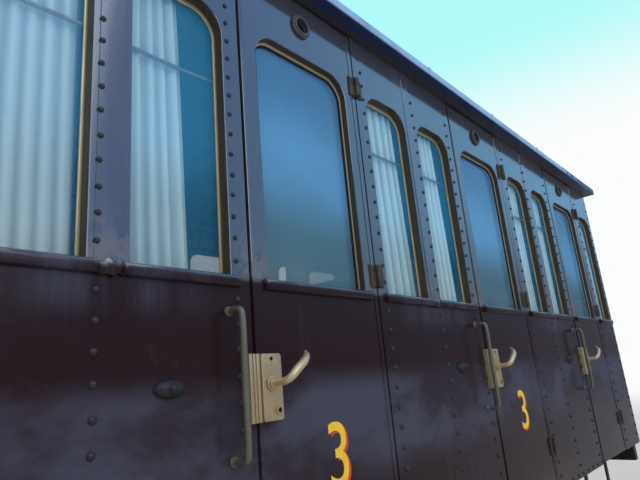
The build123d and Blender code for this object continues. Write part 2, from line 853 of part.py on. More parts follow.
half_base = BOGIE_WHEELBASE / 2
horn_half = BOX_HALF + HORN_CLEAR
plate_end = half_base + FLANGE_RADIUS + END_BEAM_CLEAR + BEAM_WIDTH
frame_outer = FRAME_Y + FRAME_PLATE


def frame_side():
    """The +Y plate of a bogie frame, with its horns open below for the axle boxes."""
    leg = horn_half + LEG_WIDTH
    right = [
        (half_base / 2, FRAME_TOP),
        (plate_end, FRAME_TOP - FRAME_FALL),
        (plate_end, FRAME_WAIST + FRAME_FALL),
        (half_base + leg, FRAME_WAIST + FRAME_STEP),
        (half_base + leg, BOX_BOTTOM),
        (half_base - leg, BOX_BOTTOM),
        (half_base - leg, FRAME_WAIST + FRAME_STEP),
        (half_base / 2, FRAME_WAIST),
    ]
    left = [(-x, z) for x, z in reversed(right)]
    side = across_coach(polygon(right + left), FRAME_Y, frame_outer)
    for place in (-half_base, half_base):
        side -= block(
            (place - horn_half, place + horn_half),
            (FRAME_Y - OVERCUT, frame_outer + OVERCUT),
            (BOX_BOTTOM - OVERCUT, HORN_TOP),
        )
    return side


clear_y = FRAME_Y - SEAT
bolster_low = bolster_top - BOLSTER_DEPTH


def bogie_frame():
    """Two side plates, two transoms, two end beams and the bolster between the transoms."""
    transom = block(
        (TRANSOM_X, TRANSOM_X + TRANSOM_WIDTH),
        (-clear_y, clear_y),
        (FRAME_WAIST, FRAME_TOP - BEAM_WIDTH),
    )
    end_beam = block(
        (plate_end - BEAM_WIDTH, plate_end),
        (-clear_y, clear_y),
        (FRAME_TOP - FRAME_FALL - BEAM_DEPTH, FRAME_TOP - FRAME_FALL),
    )
    bolster = block(
        (-BOLSTER_HALF, BOLSTER_HALF), (-clear_y, clear_y), (bolster_low, bolster_top)
    )
    bolster -= Pos(0, 0, bolster_top) * Cylinder(PIVOT_RADIUS + RUN, BOLSTER_DEPTH + OVERCUT)
    return both_sides([frame_side(), transom, end_beam]) + [bolster]


def axle_box():
    """The +Y axle box about the axle's line, its square cavity closed at the outer end."""
    box = block((-BOX_HALF, BOX_HALF), (BOX_INNER, BOX_END), (BOX_BOTTOM, BOX_TOP))
    half = JOURNAL_RADIUS + RUN
    return box - block(
        (-half, half),
        (BOX_INNER - OVERCUT, JOURNAL_END + SEAT),
        (AXLE_HEIGHT - half, AXLE_HEIGHT + half),
    )


Leaves = namedtuple("Leaves", "half_length count")
SPRING_STEPS = (Leaves(480.0, 3), Leaves(300.0, 3))


def leaf_spring(y_middle, seat_z, steps=SPRING_STEPS):
    """Leaves that grow shorter downwards, bent up towards their ends, from a flat seat."""
    pack = LEAF_THICK * sum(step.count for step in steps)
    centre_z = seat_z + pack + SPRING_RADIUS
    spring = None
    under = SPRING_RADIUS
    for step in steps:
        over = under
        under = over + step.count * LEAF_THICK
        half_turn = step.half_length / SPRING_RADIUS
        ends = [
            (radius * math.sin(half_turn), centre_z - radius * math.cos(half_turn))
            for radius in (over, under)
        ]
        left = [(-x, z) for x, z in ends]
        strip = face_of(
            ThreePointArc(left[0], (0, centre_z - over), ends[0]),
            Line(ends[0], ends[1]),
            ThreePointArc(left[1], (0, centre_z - under), ends[1]),
            Line(left[1], left[0]),
        )
        solid = across_coach(
            strip, y_middle - SPRING_WIDTH / 2, y_middle + SPRING_WIDTH / 2
        )
        spring = solid if spring is None else spring + solid
    return spring


def bogie_suspension():
    """Four axle boxes with a leaf spring on each, and a plank that bears the bolster's springs."""
    spring_y = frame_outer + SEAT + SPRING_WIDTH / 2
    spring = leaf_spring(spring_y, BOX_TOP + SEAT)
    pieces = []
    for place in (-half_base, half_base):
        pieces += both_sides([shifted(axle_box(), place), shifted(spring, place)])
    plank_reach = clear_y - SPRING_WIDTH
    plank = block(
        (-TRANSOM_X + SEAT, TRANSOM_X - SEAT),
        (-plank_reach, plank_reach),
        (FRAME_WAIST, FRAME_WAIST + PLANK_THICK),
    )
    pack = block(
        (-BOLSTER_HALF / 2, BOLSTER_HALF / 2),
        (plank_reach - 3 * SPRING_WIDTH, plank_reach),
        (FRAME_WAIST + PLANK_THICK + SEAT, bolster_low - SEAT),
    )
    return pieces + [plank] + both_sides([pack])


def brake_block():
    """A block against the inner side of the +X, +Y wheel, curved as its tread, flat behind."""
    radius = TREAD_RADIUS + BRAKE_GAP
    back = half_base - radius - BRAKE_BLOCK_THICK
    half_arc = math.radians(BRAKE_BLOCK_ARC / 2)
    rise = radius * math.sin(half_arc)
    worn = half_base - radius * math.cos(half_arc)
    upper, lower = AXLE_HEIGHT + rise, AXLE_HEIGHT - rise
    face = face_of(
        ThreePointArc((worn, lower), (half_base - radius, AXLE_HEIGHT), (worn, upper)),
        Polyline((worn, upper), (back, upper), (back, lower), (worn, lower)),
    )
    middle = (BACK_TO_BACK + FLANGE_WIDTH + WHEEL_WIDTH) / 2
    return across_coach(face, middle - BRAKE_BLOCK_WIDTH / 2, middle + BRAKE_BLOCK_WIDTH / 2)


def brake_gear():
    """Brake blocks at the four wheels, the beams that join them and the links that hang them."""
    block_piece = brake_block()
    back = half_base - TREAD_RADIUS - BRAKE_GAP - BRAKE_BLOCK_THICK - SEAT
    reach = (BACK_TO_BACK + FLANGE_WIDTH + WHEEL_WIDTH) / 2
    beam_top = AXLE_HEIGHT + BRAKE_BEAM / 2
    beam = block((back - BRAKE_BEAM, back), (-reach, reach), (beam_top - BRAKE_BEAM, beam_top))
    link = polygon(
        [
            (reach - BRAKE_LINK, beam_top + SEAT),
            (reach, beam_top + SEAT),
            (reach, BRAKE_LINK_TOP - BRAKE_LINK),
            (clear_y, BRAKE_LINK_TOP - BRAKE_LINK),
            (clear_y, BRAKE_LINK_TOP),
            (reach - BRAKE_LINK, BRAKE_LINK_TOP),
        ]
    )
    hanger = along_coach(link, back - BRAKE_BEAM, back - BRAKE_BEAM / 2)
    paired = [block_piece, hanger]
    return both_sides(paired + [mirror(piece, Plane.XZ) for piece in paired] + [beam])


wheelset_pieces = wheelset()
frame_pieces = bogie_frame()
suspension_pieces = bogie_suspension()
brake_pieces = brake_gear()
for side_name, bogie_x in (("left", -BOGIE_X), ("right", BOGIE_X)):
    outwards = math.copysign(half_base, bogie_x)
    for end_name, place in (("outer", bogie_x + outwards), ("inner", bogie_x - outwards)):
        nodes[f"wheelset_{side_name}_{end_name}"] = [
            shifted(piece, place) for piece in wheelset_pieces
        ]
    nodes[f"bogie_frame_{side_name}"] = [shifted(piece, bogie_x) for piece in frame_pieces]
    nodes[f"bogie_suspension_{side_name}"] = [
        shifted(piece, bogie_x) for piece in suspension_pieces
    ]
    nodes[f"brake_gear_{side_name}"] = [shifted(piece, bogie_x) for piece in brake_pieces]

os.makedirs("parts", exist_ok=True)
for name, pieces in nodes.items():
    solids = [solid for piece in pieces for solid in piece.solids()]
    export_step(Compound(label=name, children=solids), f"parts/{name}.step")
print(len(nodes), "nodes")
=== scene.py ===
"""A riveted steel passenger coach: its looks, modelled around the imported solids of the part."""

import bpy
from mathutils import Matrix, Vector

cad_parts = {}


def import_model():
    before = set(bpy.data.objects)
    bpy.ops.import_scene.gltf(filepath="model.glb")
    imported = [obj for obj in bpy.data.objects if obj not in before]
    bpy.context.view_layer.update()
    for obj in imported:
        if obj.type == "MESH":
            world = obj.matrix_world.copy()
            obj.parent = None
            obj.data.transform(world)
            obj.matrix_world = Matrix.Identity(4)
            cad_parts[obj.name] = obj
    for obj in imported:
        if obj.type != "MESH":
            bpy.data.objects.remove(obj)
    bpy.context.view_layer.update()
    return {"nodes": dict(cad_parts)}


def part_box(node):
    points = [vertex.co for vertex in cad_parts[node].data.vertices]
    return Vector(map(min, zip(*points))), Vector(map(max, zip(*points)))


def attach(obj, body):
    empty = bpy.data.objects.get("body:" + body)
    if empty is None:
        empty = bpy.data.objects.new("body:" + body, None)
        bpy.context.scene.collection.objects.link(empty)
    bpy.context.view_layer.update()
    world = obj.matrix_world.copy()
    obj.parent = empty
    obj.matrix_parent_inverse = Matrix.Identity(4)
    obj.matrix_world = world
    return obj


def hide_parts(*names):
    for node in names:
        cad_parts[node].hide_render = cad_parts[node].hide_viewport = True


bl_info = {
    "name": "Passenger coach",
    "version": (1, 0, 0),
    "blender": (4, 5, 0),
    "location": "3D Viewport > Sidebar > Coach",
    "description": "Models the sheets, trim and finishes of a side-door coach around its solids",
    "category": "Object",
}

import math
import random

import bmesh
import bpy
from bpy.props import FloatProperty, FloatVectorProperty, IntProperty, PointerProperty
from mathutils import Matrix, Vector

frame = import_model()

# Places that the solids give
wall_low, wall_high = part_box("side_wall_near")
END = wall_high.x
FACE = wall_low.y
WALL_BACK = wall_high.y
WALL_BOTTOM, WALL_TOP = wall_low.z, wall_high.z
DOORS = sorted(node for node in frame["nodes"] if node.startswith("door_near"))
BAY = 2 * END / len(DOORS)
LINES = [-END + number * BAY for number in range(len(DOORS) + 1)]
CENTRES = [line + BAY / 2 for line in LINES[:-1]]

# Places that several pieces share
SEAT = FACE + 0.001  # back of what is let into the side
HINGE_LEVELS = (1.319, 2.212, 3.105)
VENT_Z = 3.258
VENT_RADIUS = 0.031
STEP_LEVELS = (0.800, 0.455)
STRAP_X = 0.27  # from a door's middle to the straps of its steps
CURTAIN_ROD_Z = 2.84
TANK_X = 2.46  # the crates stand as far on the other side of the middle
# Dark navy under the eaves: painted shade with a painted reflection of blue sky
SOFFIT_SHADE_AND_REFLECTION = (0.008, 0.022, 0.085)
HALF_TURN = Matrix.Rotation(math.pi, 4, "Z")
SIDES = (("near", None), ("far", HALF_TURN))


def length(name, default, description):
    """A size in metres that the sidebar shows."""
    return FloatProperty(
        name=name, description=description, default=default, min=0, unit="LENGTH", precision=4
    )


def colour(name, default, description):
    """A colour that the sidebar shows."""
    return FloatVectorProperty(
        name=name, description=description, default=default, subtype="COLOR", min=0, max=1
    )


class CoachSizes(bpy.types.PropertyGroup):
    """Sizes of the side, its windows and its doors."""

    door_width: length("Door width", 0.69, "Width of a side door")
    door_thick: length("Door thickness", 0.038, "Thickness of a side door")
    door_gap: length("Door gap", 0.007, "Gap round a side door")
    window_width: length("Window width", 0.335, "Width of a window between the doors")
    door_window: length("Door window", 0.53, "Width of a door's window")
    window_bottom: length("Window bottom", 2.137, "Height of the windows' lower edge")
    window_top: length("Window top", 3.111, "Height of the windows' upper edge")
    window_corner: length("Window corner", 0.1, "Radius of the windows' upper corners")
    pillar: length("Pillar", 0.117, "Width of the pillar between two windows")
    bead: length("Bead width", 0.0105, "Width of the brass bead before the glass")
    bead_depth: length("Bead depth", 0.006, "Depth of the brass bead")
    seal_and_shade: length("Seal width", 0.013, "Width of the black seal round a door's pane")
    rivet: length("Rivet", 0.0092, "Radius of a rivet's head above the sills")
    rivet_low: length("Low rivet", 0.0112, "Radius of a rivet's head below the sills")
    pitch_high: length("Upper pitch", 0.073, "Distance between rivets above the sill")
    pitch_low: length("Lower pitch", 0.077, "Distance between rivets below the sill")
    corner_steps: IntProperty(
        name="Corner steps", description="Faces round a window's corner", default=8, min=2
    )


class CoachTrim(bpy.types.PropertyGroup):
    """Sizes of locks, levers, rails and hinges."""

    lock_middle: length("Lock height", 1.802, "Height of the lock's middle")
    lock_height: length("Lock length", 0.2, "Height of the lock plate")
    lock_width: length("Lock width", 0.084, "Width of the lock plate on the door")
    keeper_width: length("Keeper width", 0.041, "Width of the keeper on the post")
    lock_proud: length("Lock thickness", 0.027, "How far the lock stands out")
    rail_away: length("Rail place", 0.098, "From the door's edge to the hand rail")
    rail_stand: length("Rail stand", 0.062, "From the side to the hand rail's middle")
    rail_rod: length("Rail radius", 0.0105, "Radius of the hand rail")
    rail_bottom: length("Rail bottom", 1.594, "Height of the hand rail's lower foot")
    rail_top: length("Rail top", 2.044, "Height of the hand rail's upper foot")
    hinge_barrel: length("Hinge barrel", 0.0125, "Radius of a hinge's barrel")
    hinge_height: length("Hinge height", 0.095, "Height of a hinge")
    numeral: length("Numeral height", 0.21, "Height of the class numeral")
    numeral_middle: length("Numeral place", 1.564, "Height of the numeral's middle")


class CoachColours(bpy.types.PropertyGroup):
    """Colours of the finishes."""

    enamel: colour("Enamel", (0.020, 0.0095, 0.0118), "Gloss enamel of the sides")
    # Upper: bloomed enamel, partly lightened as a painted sky reflection. Top: bloomed enamel
    # painted bluer as a reflection of the sky.
    upper: colour("Upper enamel", (0.038, 0.027, 0.026), "Bloomed enamel between the windows")
    top: colour("Top enamel", (0.048, 0.058, 0.088), "Bloomed enamel under the eaves")
    lining: colour("Lining", (0.050, 0.036, 0.020), "Olive brown of the window linings")
    # Haze: milky bloom, and also the colour of the painted reflection half way down the sides
    haze_and_reflection: colour("Haze", (0.085, 0.098, 0.165), "Milky bloom on old enamel")
    rust: colour("Rust", (0.14, 0.062, 0.028), "Rust on hinges and running gear")
    dust: colour("Dust", (0.16, 0.13, 0.10), "Brake dust and road dirt")
    brass: colour("Brass", (0.60, 0.46, 0.27), "Worn brass of the locks")
    rail: colour("Rail metal", (0.20, 0.18, 0.135), "Dull worn metal of the hand rails")
    # The windows' blue is a painted reflection of the sky
    glass: colour("Glass", (0.07, 0.52, 1.0), "Tint of the windows")
    cloth: colour("Curtain", (0.81, 1.0, 0.98), "Curtain cloth")
    wood: colour("Wood", (0.36, 0.19, 0.08), "Varnished benches")
    black: colour("Frame black", (0.018, 0.017, 0.017), "Paint of the frame")
    roof: colour("Roof", (0.075, 0.078, 0.085), "Sooty roof paint")
    steel: colour("Steel", (0.38, 0.37, 0.36), "Bare worn steel")
    numeral: colour("Numeral", (0.93, 0.58, 0.03), "Yellow of the class numeral")
    numeral_edge: colour("Numeral shadow", (0.55, 0.07, 0.02), "Red shadow of the numeral")


class CoachStage(bpy.types.PropertyGroup):
    """The camera, lamps and floor."""

    place: FloatVectorProperty(
        name="Camera", description="Where the camera stands", default=(4.291, -2.6686, 1.794),
        subtype="TRANSLATION", unit="LENGTH",
    )
    right: FloatVectorProperty(
        name="Right", description="Direction of the picture's right side",
        default=(0.66583755, -0.74122779, -0.08509826), subtype="DIRECTION",
    )
    up: FloatVectorProperty(
        name="Up", description="Direction of the picture's upper side",
        default=(-0.14296147, -0.23869474, 0.96051384), subtype="DIRECTION",
    )
    lens: FloatProperty(
        name="Lens", description="Focal length", default=29.593, min=1, unit="CAMERA"
    )
    sky: colour("Sky", (0.44, 0.96, 0.95), "Backdrop above")
    horizon: colour("Horizon", (0.97, 0.98, 0.98), "Backdrop at the floor")
    mirrored: colour("Mirrored sky", (0.20, 0.42, 0.86), "What gloss and glass show above")
    mirrored_end: colour("Mirrored bright sky", (0.28, 0.62, 1.0), "What gloss shows at the ends")
    mirrored_low: colour("Mirrored ground", (0.16, 0.18, 0.24), "What gloss shows low down")
    floor: colour("Floor", (0.66, 0.66, 0.65), "Plain pale floor")
    daylight: FloatProperty(
        name="Daylight", description="Strength of the soft light all round", default=0.85, min=0
    )
    lamp: FloatProperty(
        name="Lamp", description="Power of the soft lamp beside the coach", default=300, min=0,
        unit="POWER",
    )


GROUPS = {
    "coach_sizes": CoachSizes,
    "coach_trim": CoachTrim,
    "coach_colours": CoachColours,
    "coach_stage": CoachStage,
}


# Modelling as by hand
def clear():
    """Leaves nothing selected."""
    bpy.ops.object.select_all(action="DESELECT")


def alone(piece):
    """Selects one piece and nothing else."""
    clear()
    piece.select_set(True)
    bpy.context.view_layer.objects.active = piece
    return piece


def settle(name):
    """Names the new object and puts its place into its mesh."""
    piece = bpy.context.object
    piece.name = piece.data.name = name
    bpy.ops.object.transform_apply(location=True, rotation=True, scale=True)
    return piece


def slab(name, low, high):
    """A block between two corners, to be shaped further."""
    low, high = Vector(low), Vector(high)
    clear()
    bpy.ops.mesh.primitive_cube_add(size=1, location=(low + high) / 2)
    bpy.context.object.scale = high - low
    return settle(name)


def disc(name, place, radius, depth, sides=24, axis="Y"):
    """A round piece about an axis, to be shaped further."""
    clear()
    turn = {"X": (0, math.pi / 2, 0), "Y": (math.pi / 2, 0, 0), "Z": (0, 0, 0)}[axis]
    bpy.ops.mesh.primitive_cylinder_add(
        vertices=sides, radius=radius, depth=depth, location=place, rotation=turn
    )
    return settle(name)


def facing(axis, sides=0):
    """A test for faces that look along an axis such as "-Y", with so many corners if given."""
    index, sign = "XYZ".index(axis[1]), float(axis[0] + "1")
    return lambda face: sign * face.normal[index] > 0.9 and sides in (0, len(face.verts))


class Shaping:
    """Edit mode on one piece. pick() selects its faces, edges or points by a test."""

    def __init__(self, piece):
        self.piece = piece

    def __enter__(self):
        alone(self.piece)
        bpy.ops.object.mode_set(mode="EDIT")
        return self

    def __exit__(self, *_):
        bpy.ops.object.mode_set(mode="OBJECT")

    def pick(self, kind, test):
        bpy.ops.mesh.select_mode(type=kind)
        bpy.ops.mesh.select_all(action="DESELECT")
        mesh = bmesh.from_edit_mesh(self.piece.data)
        for part in {"FACE": mesh.faces, "EDGE": mesh.edges, "VERT": mesh.verts}[kind]:
            if test(part):
                part.select_set(True)
        mesh.select_flush_mode()
        bmesh.update_edit_mesh(self.piece.data)

    def whole(self):
        self.pick("FACE", lambda face: True)

    def slice(self, point, normal, **options):
        """Cuts all faces along a plane."""
        self.whole()
        bpy.ops.mesh.bisect(plane_co=point, plane_no=normal, **options)

    def push(self, axis, moves, sides=0, slide=False):
        """Insets the faces that look along an axis and pushes them outwards, move by move."""
        self.pick("FACE", facing(axis, sides))
        for inset, out in moves:
            way = tuple(float(axis[0] + "1") * out if name == axis[1] else 0 for name in "XYZ")
            if inset:
                bpy.ops.mesh.inset(thickness=inset)
            if out and slide:
                bpy.ops.transform.translate(value=way)
            elif out:
                bpy.ops.mesh.extrude_region_move(TRANSFORM_OT_translate={"value": way})


def pushed(piece, axis, moves, sides=0, slide=False):
    """A piece with its faces on one side inset and pushed out."""
    with Shaping(piece) as work:
        work.push(axis, moves, sides, slide)
    return piece


def middle(edge):
    """The point half way along an edge."""
    return (edge.verts[0].co + edge.verts[1].co) / 2


def along(edge, axis):
    """Whether an edge runs along X, Y or Z (0, 1 or 2)."""
    run = edge.verts[1].co - edge.verts[0].co
    return abs(run[axis]) > 0.999 * run.length


def sharp(angle):
    """A test for edges that turn by more than an angle."""
    return lambda edge: edge.calc_face_angle(0) > angle


def before(y):
    """A test for edges that lie further out on the near side than y."""
    return lambda edge: middle(edge).y < y


def ease(piece, width, steps=1, test=sharp(0.5)):
    """Rounds the edges that a test picks."""
    with Shaping(piece) as work:
        work.pick("EDGE", test)
        bpy.ops.mesh.bevel(offset=width, segments=steps, affect="EDGES", clamp_overlap=True)
    return piece


def smooth(piece, degrees):
    """Smooth shading where faces meet at less than an angle."""
    alone(piece)
    bpy.ops.object.shade_smooth_by_angle(angle=math.radians(degrees))
    return piece


def flatten(piece):
    """Flat shading on the broad faces of a sheet, so that rounded edges don't bend its gloss."""
    with Shaping(piece) as work:
        work.pick("FACE", lambda face: abs(face.normal.y) > 0.9999)
        bpy.ops.mesh.faces_shade_flat()
    return piece


def cut(piece, cutter):
    """Takes the cutter's space out of a piece and deletes the cutter."""
    modifier = piece.modifiers.new("cut", "BOOLEAN")
    modifier.object, modifier.solver = cutter, "EXACT"
    alone(piece)
    bpy.ops.object.modifier_apply(modifier=modifier.name)
    bpy.data.objects.remove(cutter)
    return piece


def copied(piece, name, place=(0, 0, 0), turn=None):
    """A copy with its own mesh, moved or turned."""
    twin = piece.copy()
    twin.data = piece.data.copy()
    twin.name = twin.data.name = name
    twin.data.transform(Matrix.Translation(place) @ (turn or Matrix.Identity(4)))
    bpy.context.scene.collection.objects.link(twin)
    return twin


def joined(pieces, name):
    """One piece from several."""
    clear()
    for piece in pieces:
        piece.select_set(True)
    bpy.context.view_layer.objects.active = pieces[0]
    if len(pieces) > 1:
        bpy.ops.object.join()
    pieces[0].name = pieces[0].data.name = name
    return pieces[0]


def discard(*models):
    """Takes models away once their copies stand."""
    for model in models:
        bpy.data.objects.remove(model)


def repeated(piece, name, places):
    """One piece with a copy of the model at each place; the model goes."""
    whole = joined([copied(piece, name, place) for place in places], name)
    discard(piece)
    return whole


def spots(xs, levels=(0,)):
    """Places along the side, at each of some heights."""
    return [(x, 0, z) for x in xs for z in levels]


def every_bay(name, whole, first, last):
    """Copies of one bay's model on the inner lines and of the end models; the models go."""
    row = [copied(whole, name, place) for place in spots(LINES[1:-1])]
    row += [copied(first, name, (LINES[0], 0, 0)), copied(last, name, (LINES[-1], 0, 0))]
    discard(whole, first, last)
    return row


def wear(piece, finish):
    """Gives a piece one finish."""
    piece.data.materials.clear()
    piece.data.materials.append(finishes[finish])
    return piece


def put(piece, body, slot, nodes=()):
    """Fixes a finished piece to its body and hides the nodes that it stands for; its slot is not
    used.
    """
    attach(piece, body)
    if nodes:
        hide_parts(*nodes)
    return piece


def put_both(piece, name, slot, nodes=(), sides=("near", "far")):
    """A piece and its like turned by half a turn, both on the body of the coach."""
    far = copied(piece, f"{name}_{sides[1]}", turn=HALF_TURN)
    piece.name = piece.data.name = f"{name}_{sides[0]}"
    put(piece, "carbody", slot, nodes)
    put(far, "carbody", slot, nodes)


def meshed(name, data):
    """A curve or text turned into a mesh piece."""
    piece = bpy.data.objects.new(name, data)
    bpy.context.scene.collection.objects.link(piece)
    alone(piece)
    bpy.ops.object.convert(target="MESH")
    return bpy.context.object


def rod(name, points, radii, steps=3):
    """A round bar through points, with one radius or its own at each of them, made a mesh."""
    line = bpy.data.curves.new(name, "CURVE")
    line.dimensions = "3D"
    spline = line.splines.new("BEZIER")
    spline.bezier_points.add(len(points) - 1)
    if isinstance(radii, float):
        radii = [radii] * len(points)
    for knot, point, radius in zip(spline.bezier_points, points, radii):
        knot.co, knot.radius = point, radius
        knot.handle_left_type = knot.handle_right_type = "AUTO"
    spline.resolution_u = 5
    line.bevel_depth, line.bevel_resolution, line.use_fill_caps = 1, steps, True
    return meshed(name, line)


def grip(name, place, knots, low, high, mid, radius):
    """A bar that leaves its wall at two heights. place() gives the point for a depth and height."""
    points = [place(out, low + rise) for out, rise in knots]
    points.append(place(knots[-1][0], mid))
    points += [place(out, high - rise) for out, rise in reversed(knots)]
    return rod(name, points, radius)


def ball_half(name, segments, rings, radius, shape):
    """The half of a squashed ball that stands out towards -Y from the middle."""
    clear()
    bpy.ops.mesh.primitive_uv_sphere_add(segments=segments, ring_count=rings, radius=radius)
    piece = settle(name)
    with Shaping(piece) as work:
        work.whole()
        bpy.ops.transform.rotate(value=math.pi / 2, orient_axis="X", center_override=(0, 0, 0))
        bpy.ops.transform.resize(value=shape, center_override=(0, 0, 0))
        work.slice((0, 0, 0), (0, 1, 0), clear_outer=True)
    return piece


def rivet_head(radius, y=0.0):
    """A rivet's low dome on a face at y."""
    flatness = 0.75
    piece = smooth(ball_half("head", 8, 6, radius, (1, flatness, 1)), 60)
    piece.data.transform(Matrix.Translation((0, y, 0)))
    return piece


# Finishes
class Shade:
    """A socket's value, with the sums that finishes need."""

    def __init__(self, finish, socket):
        self.finish, self.socket = finish, socket

    def math(self, operation, first, second):
        return self.finish.node(
            "ShaderNodeMath", {"operation": operation}, {0: first, 1: second}
        )

    def __add__(self, other):
        return self.math("ADD", self, other)

    def __mul__(self, other):
        return self.math("MULTIPLY", self, other)

    def __sub__(self, other):
        return self.math("SUBTRACT", self, other)

    def __rsub__(self, other):
        return self.math("SUBTRACT", other, self)

    __radd__, __rmul__ = __add__, __mul__

    def over(self, low, high):
        """0 up to low, 1 from high, smooth between them."""
        return self.finish.node(
            "ShaderNodeMapRange",
            {"interpolation_type": "SMOOTHSTEP"},
            {"Value": self, "From Min": low, "From Max": high},
        )

    def between(self, low, low_full, high_full, high):
        """1 from low_full to high_full, 0 outside low and high."""
        return self.over(low, low_full) * (1 - self.over(high_full, high))

    def clipped(self):
        return self.math("MINIMUM", self, 1)

    def size(self):
        return self.math("ABSOLUTE", self, 0)

    def either(self, other):
        return self.math("MAXIMUM", self, other)


class Finish:
    """A material in the making. node() adds any node."""

    def __init__(self, name, tree=None):
        self.tree = tree
        if tree is None:
            self.material = bpy.data.materials.new(name)
            self.material.use_nodes = True
            self.tree = self.material.node_tree
            self.shader = self.first("BSDF_PRINCIPLED")

    def first(self, kind):
        """The node of a kind that is there already."""
        return next(node for node in self.tree.nodes if node.type == kind)

    def node(self, kind, settings=None, inputs=None, output=0):
        made = self.tree.nodes.new(kind)
        for key, value in (settings or {}).items():
            setattr(made, key, value)
        for key, value in (inputs or {}).items():
            self.feed(made.inputs[key], value)
        return Shade(self, made.outputs[output])

    def feed(self, socket, value):
        if isinstance(value, Shade):
            self.tree.links.new(value.socket, socket)
        elif socket.type == "RGBA" and len(value) == 3:
            socket.default_value = (*value, 1)
        else:
            socket.default_value = value

    def place(self, scale=(1, 1, 1)):
        """The point on the object, stretched."""
        where = self.node("ShaderNodeTexCoord", output="Object")
        return self.node("ShaderNodeMapping", {}, {"Vector": where, "Scale": scale})

    def noise(self, scale, detail=3, rough=0.55, stretch=(1, 1, 1)):
        return self.node("ShaderNodeTexNoise", {}, {
            "Vector": self.place(stretch), "Scale": scale, "Detail": detail, "Roughness": rough,
        })

    def axis(self, name):
        return self.node("ShaderNodeSeparateXYZ", {}, {0: self.place()}, output=name)

    def ray(self, name):
        return self.node("ShaderNodeLightPath", output=name)

    def blend(self, factor, first, second):
        return self.node(
            "ShaderNodeMix", {"data_type": "RGBA"}, {0: factor, 6: first, 7: second}, output=2
        )

    def bump(self, height, distance, strength=1.0, under=None):
        inputs = {"Height": height, "Distance": distance, "Strength": strength}
        if under:
            inputs["Normal"] = under
        return self.node("ShaderNodeBump", {}, inputs)

    def done(self, **inputs):
        """Sets the shader's sockets, named with _ for spaces, and gives the material."""
        for key, value in inputs.items():
            self.feed(self.shader.inputs[key.replace("_", " ")], value)
        return self.material


def tones(tint, share):
    return tuple(part * share for part in tint)


def enamel(name, tints, waist=1.0):
    """Old gloss enamel on riveted sheet: wavy, bloomed in patches and streaked below the sills,
    with a painted sky reflection above the sills and a painted reflection half way down.
    """
    f = Finish(name)
    patch = f.noise(0.9, 4, 0.6)
    streak = f.noise(7, 4, 0.7, (1, 1, 0.08))
    fine = f.noise(42, 3, 0.6)
    cloud = f.noise(1.7, 5, 0.62, (1, 1, 1.6))
    chips = f.noise(16, 5, 0.7)
    height = f.axis("Z")
    # Distance from the nearest line between two bays
    across = f.axis("X") - LINES[0]
    line = across.math("PINGPONG", across, BAY / 2)
    # Milky bloom: streaks under the sills and smears beside the joints; the clouds half way down
    # are a painted reflection of bright surroundings
    streaks = streak.over(0.56, 0.8) * (0.05 + height.between(1.72, 2.10, 2.11, 2.13) * 0.35)
    band = height.between(1.40, 1.58, 1.75, 1.87)
    smear = height.over(1.98, 2.07) * (1 - line.over(0.06, 0.4)) * waist
    bloom_and_reflection = patch.over(0.50, 0.78) * 0.06 + streaks + (cloud.over(0.41, 0.62) * 0.42 + 0.13) * band
    bloom_and_reflection = (bloom_and_reflection + smear * streak.over(0.35, 0.6) * 0.3).clipped()
    # Dirt: streaks and chips over the sills, which also stand in as a painted reflection of brown
    # buildings; dust along the foot
    upper = height.over(2.124, 2.145) * waist
    near_line = 1 - line.over(0.03, 0.13)
    jamb = line.between(0.41, 0.45, 0.52, 0.58)
    sill_dirt_and_reflection = (upper * (1 - height.over(2.15, 2.42)) * streak.over(0.46, 0.62) * 0.6).either(
        near_line.either(jamb) * upper * (1 - height.over(2.14, 2.34)) * chips.over(0.40, 0.56)
    )
    foot = (1 - height.over(1.07, 1.6)) * streak.over(0.55, 0.8) * 0.35
    low_foot = 1 - height.over(1.07, 1.28)
    dirt_and_reflection = low_foot * patch.over(0.35, 0.65) * 0.3 + foot
    dirt_and_reflection = (dirt_and_reflection + low_foot * fine.over(0.45, 0.7) * 0.12).either(sill_dirt_and_reflection * 0.6)
    # Painted sky reflection: greyer above the sills, turning blue towards the eaves
    tone = f.blend(height.over(2.5, 3.3) * waist, tints.upper, tints.top)
    tone = f.blend(upper * (0.65 + patch.over(0.35, 0.65) * 0.35), tints.enamel, tone)
    tone = f.blend(bloom_and_reflection, tone, tints.haze_and_reflection)
    tone = f.blend(fine.over(0.55, 0.8) * patch.over(0.4, 0.7) * 0.25, tone, tints.rust)
    tone = f.blend(dirt_and_reflection, tone, tints.dust)
    wave = f.bump(f.noise(2.6, 2, 0.4), 0.012, 0.5)
    return f.done(
        Base_Color=tone, Roughness=0.15 + bloom_and_reflection * 0.35 + dirt_and_reflection * 0.5 + fine * 0.05,
        Normal=f.bump(fine, 0.0006, 0.35, wave), Specular_IOR_Level=0.22,
        Coat_Weight=upper, Coat_Roughness=0.1, Coat_IOR=2.3,
    )


def metal(name, tone, stain, roughness, worn=0.5, grain=30.0, metallic=0.9):
    """Worn metal: stained in patches, brighter where hands or weather rub it."""
    f = Finish(name)
    patch = f.noise(grain * 0.35, 4, 0.65)
    fine = f.noise(grain * 3, 3, 0.6)
    mask = patch.over(0.46, 0.72) * worn
    shade = f.blend(mask, tone, stain)
    shade = f.blend(fine.over(0.6, 0.85) * 0.3, shade, stain)
    return f.done(
        Base_Color=shade, Roughness=roughness + mask * 0.3 + fine * 0.08,
        Metallic=metallic - mask * 0.5 * metallic, Normal=f.bump(fine, 0.0008, 0.4),
    )


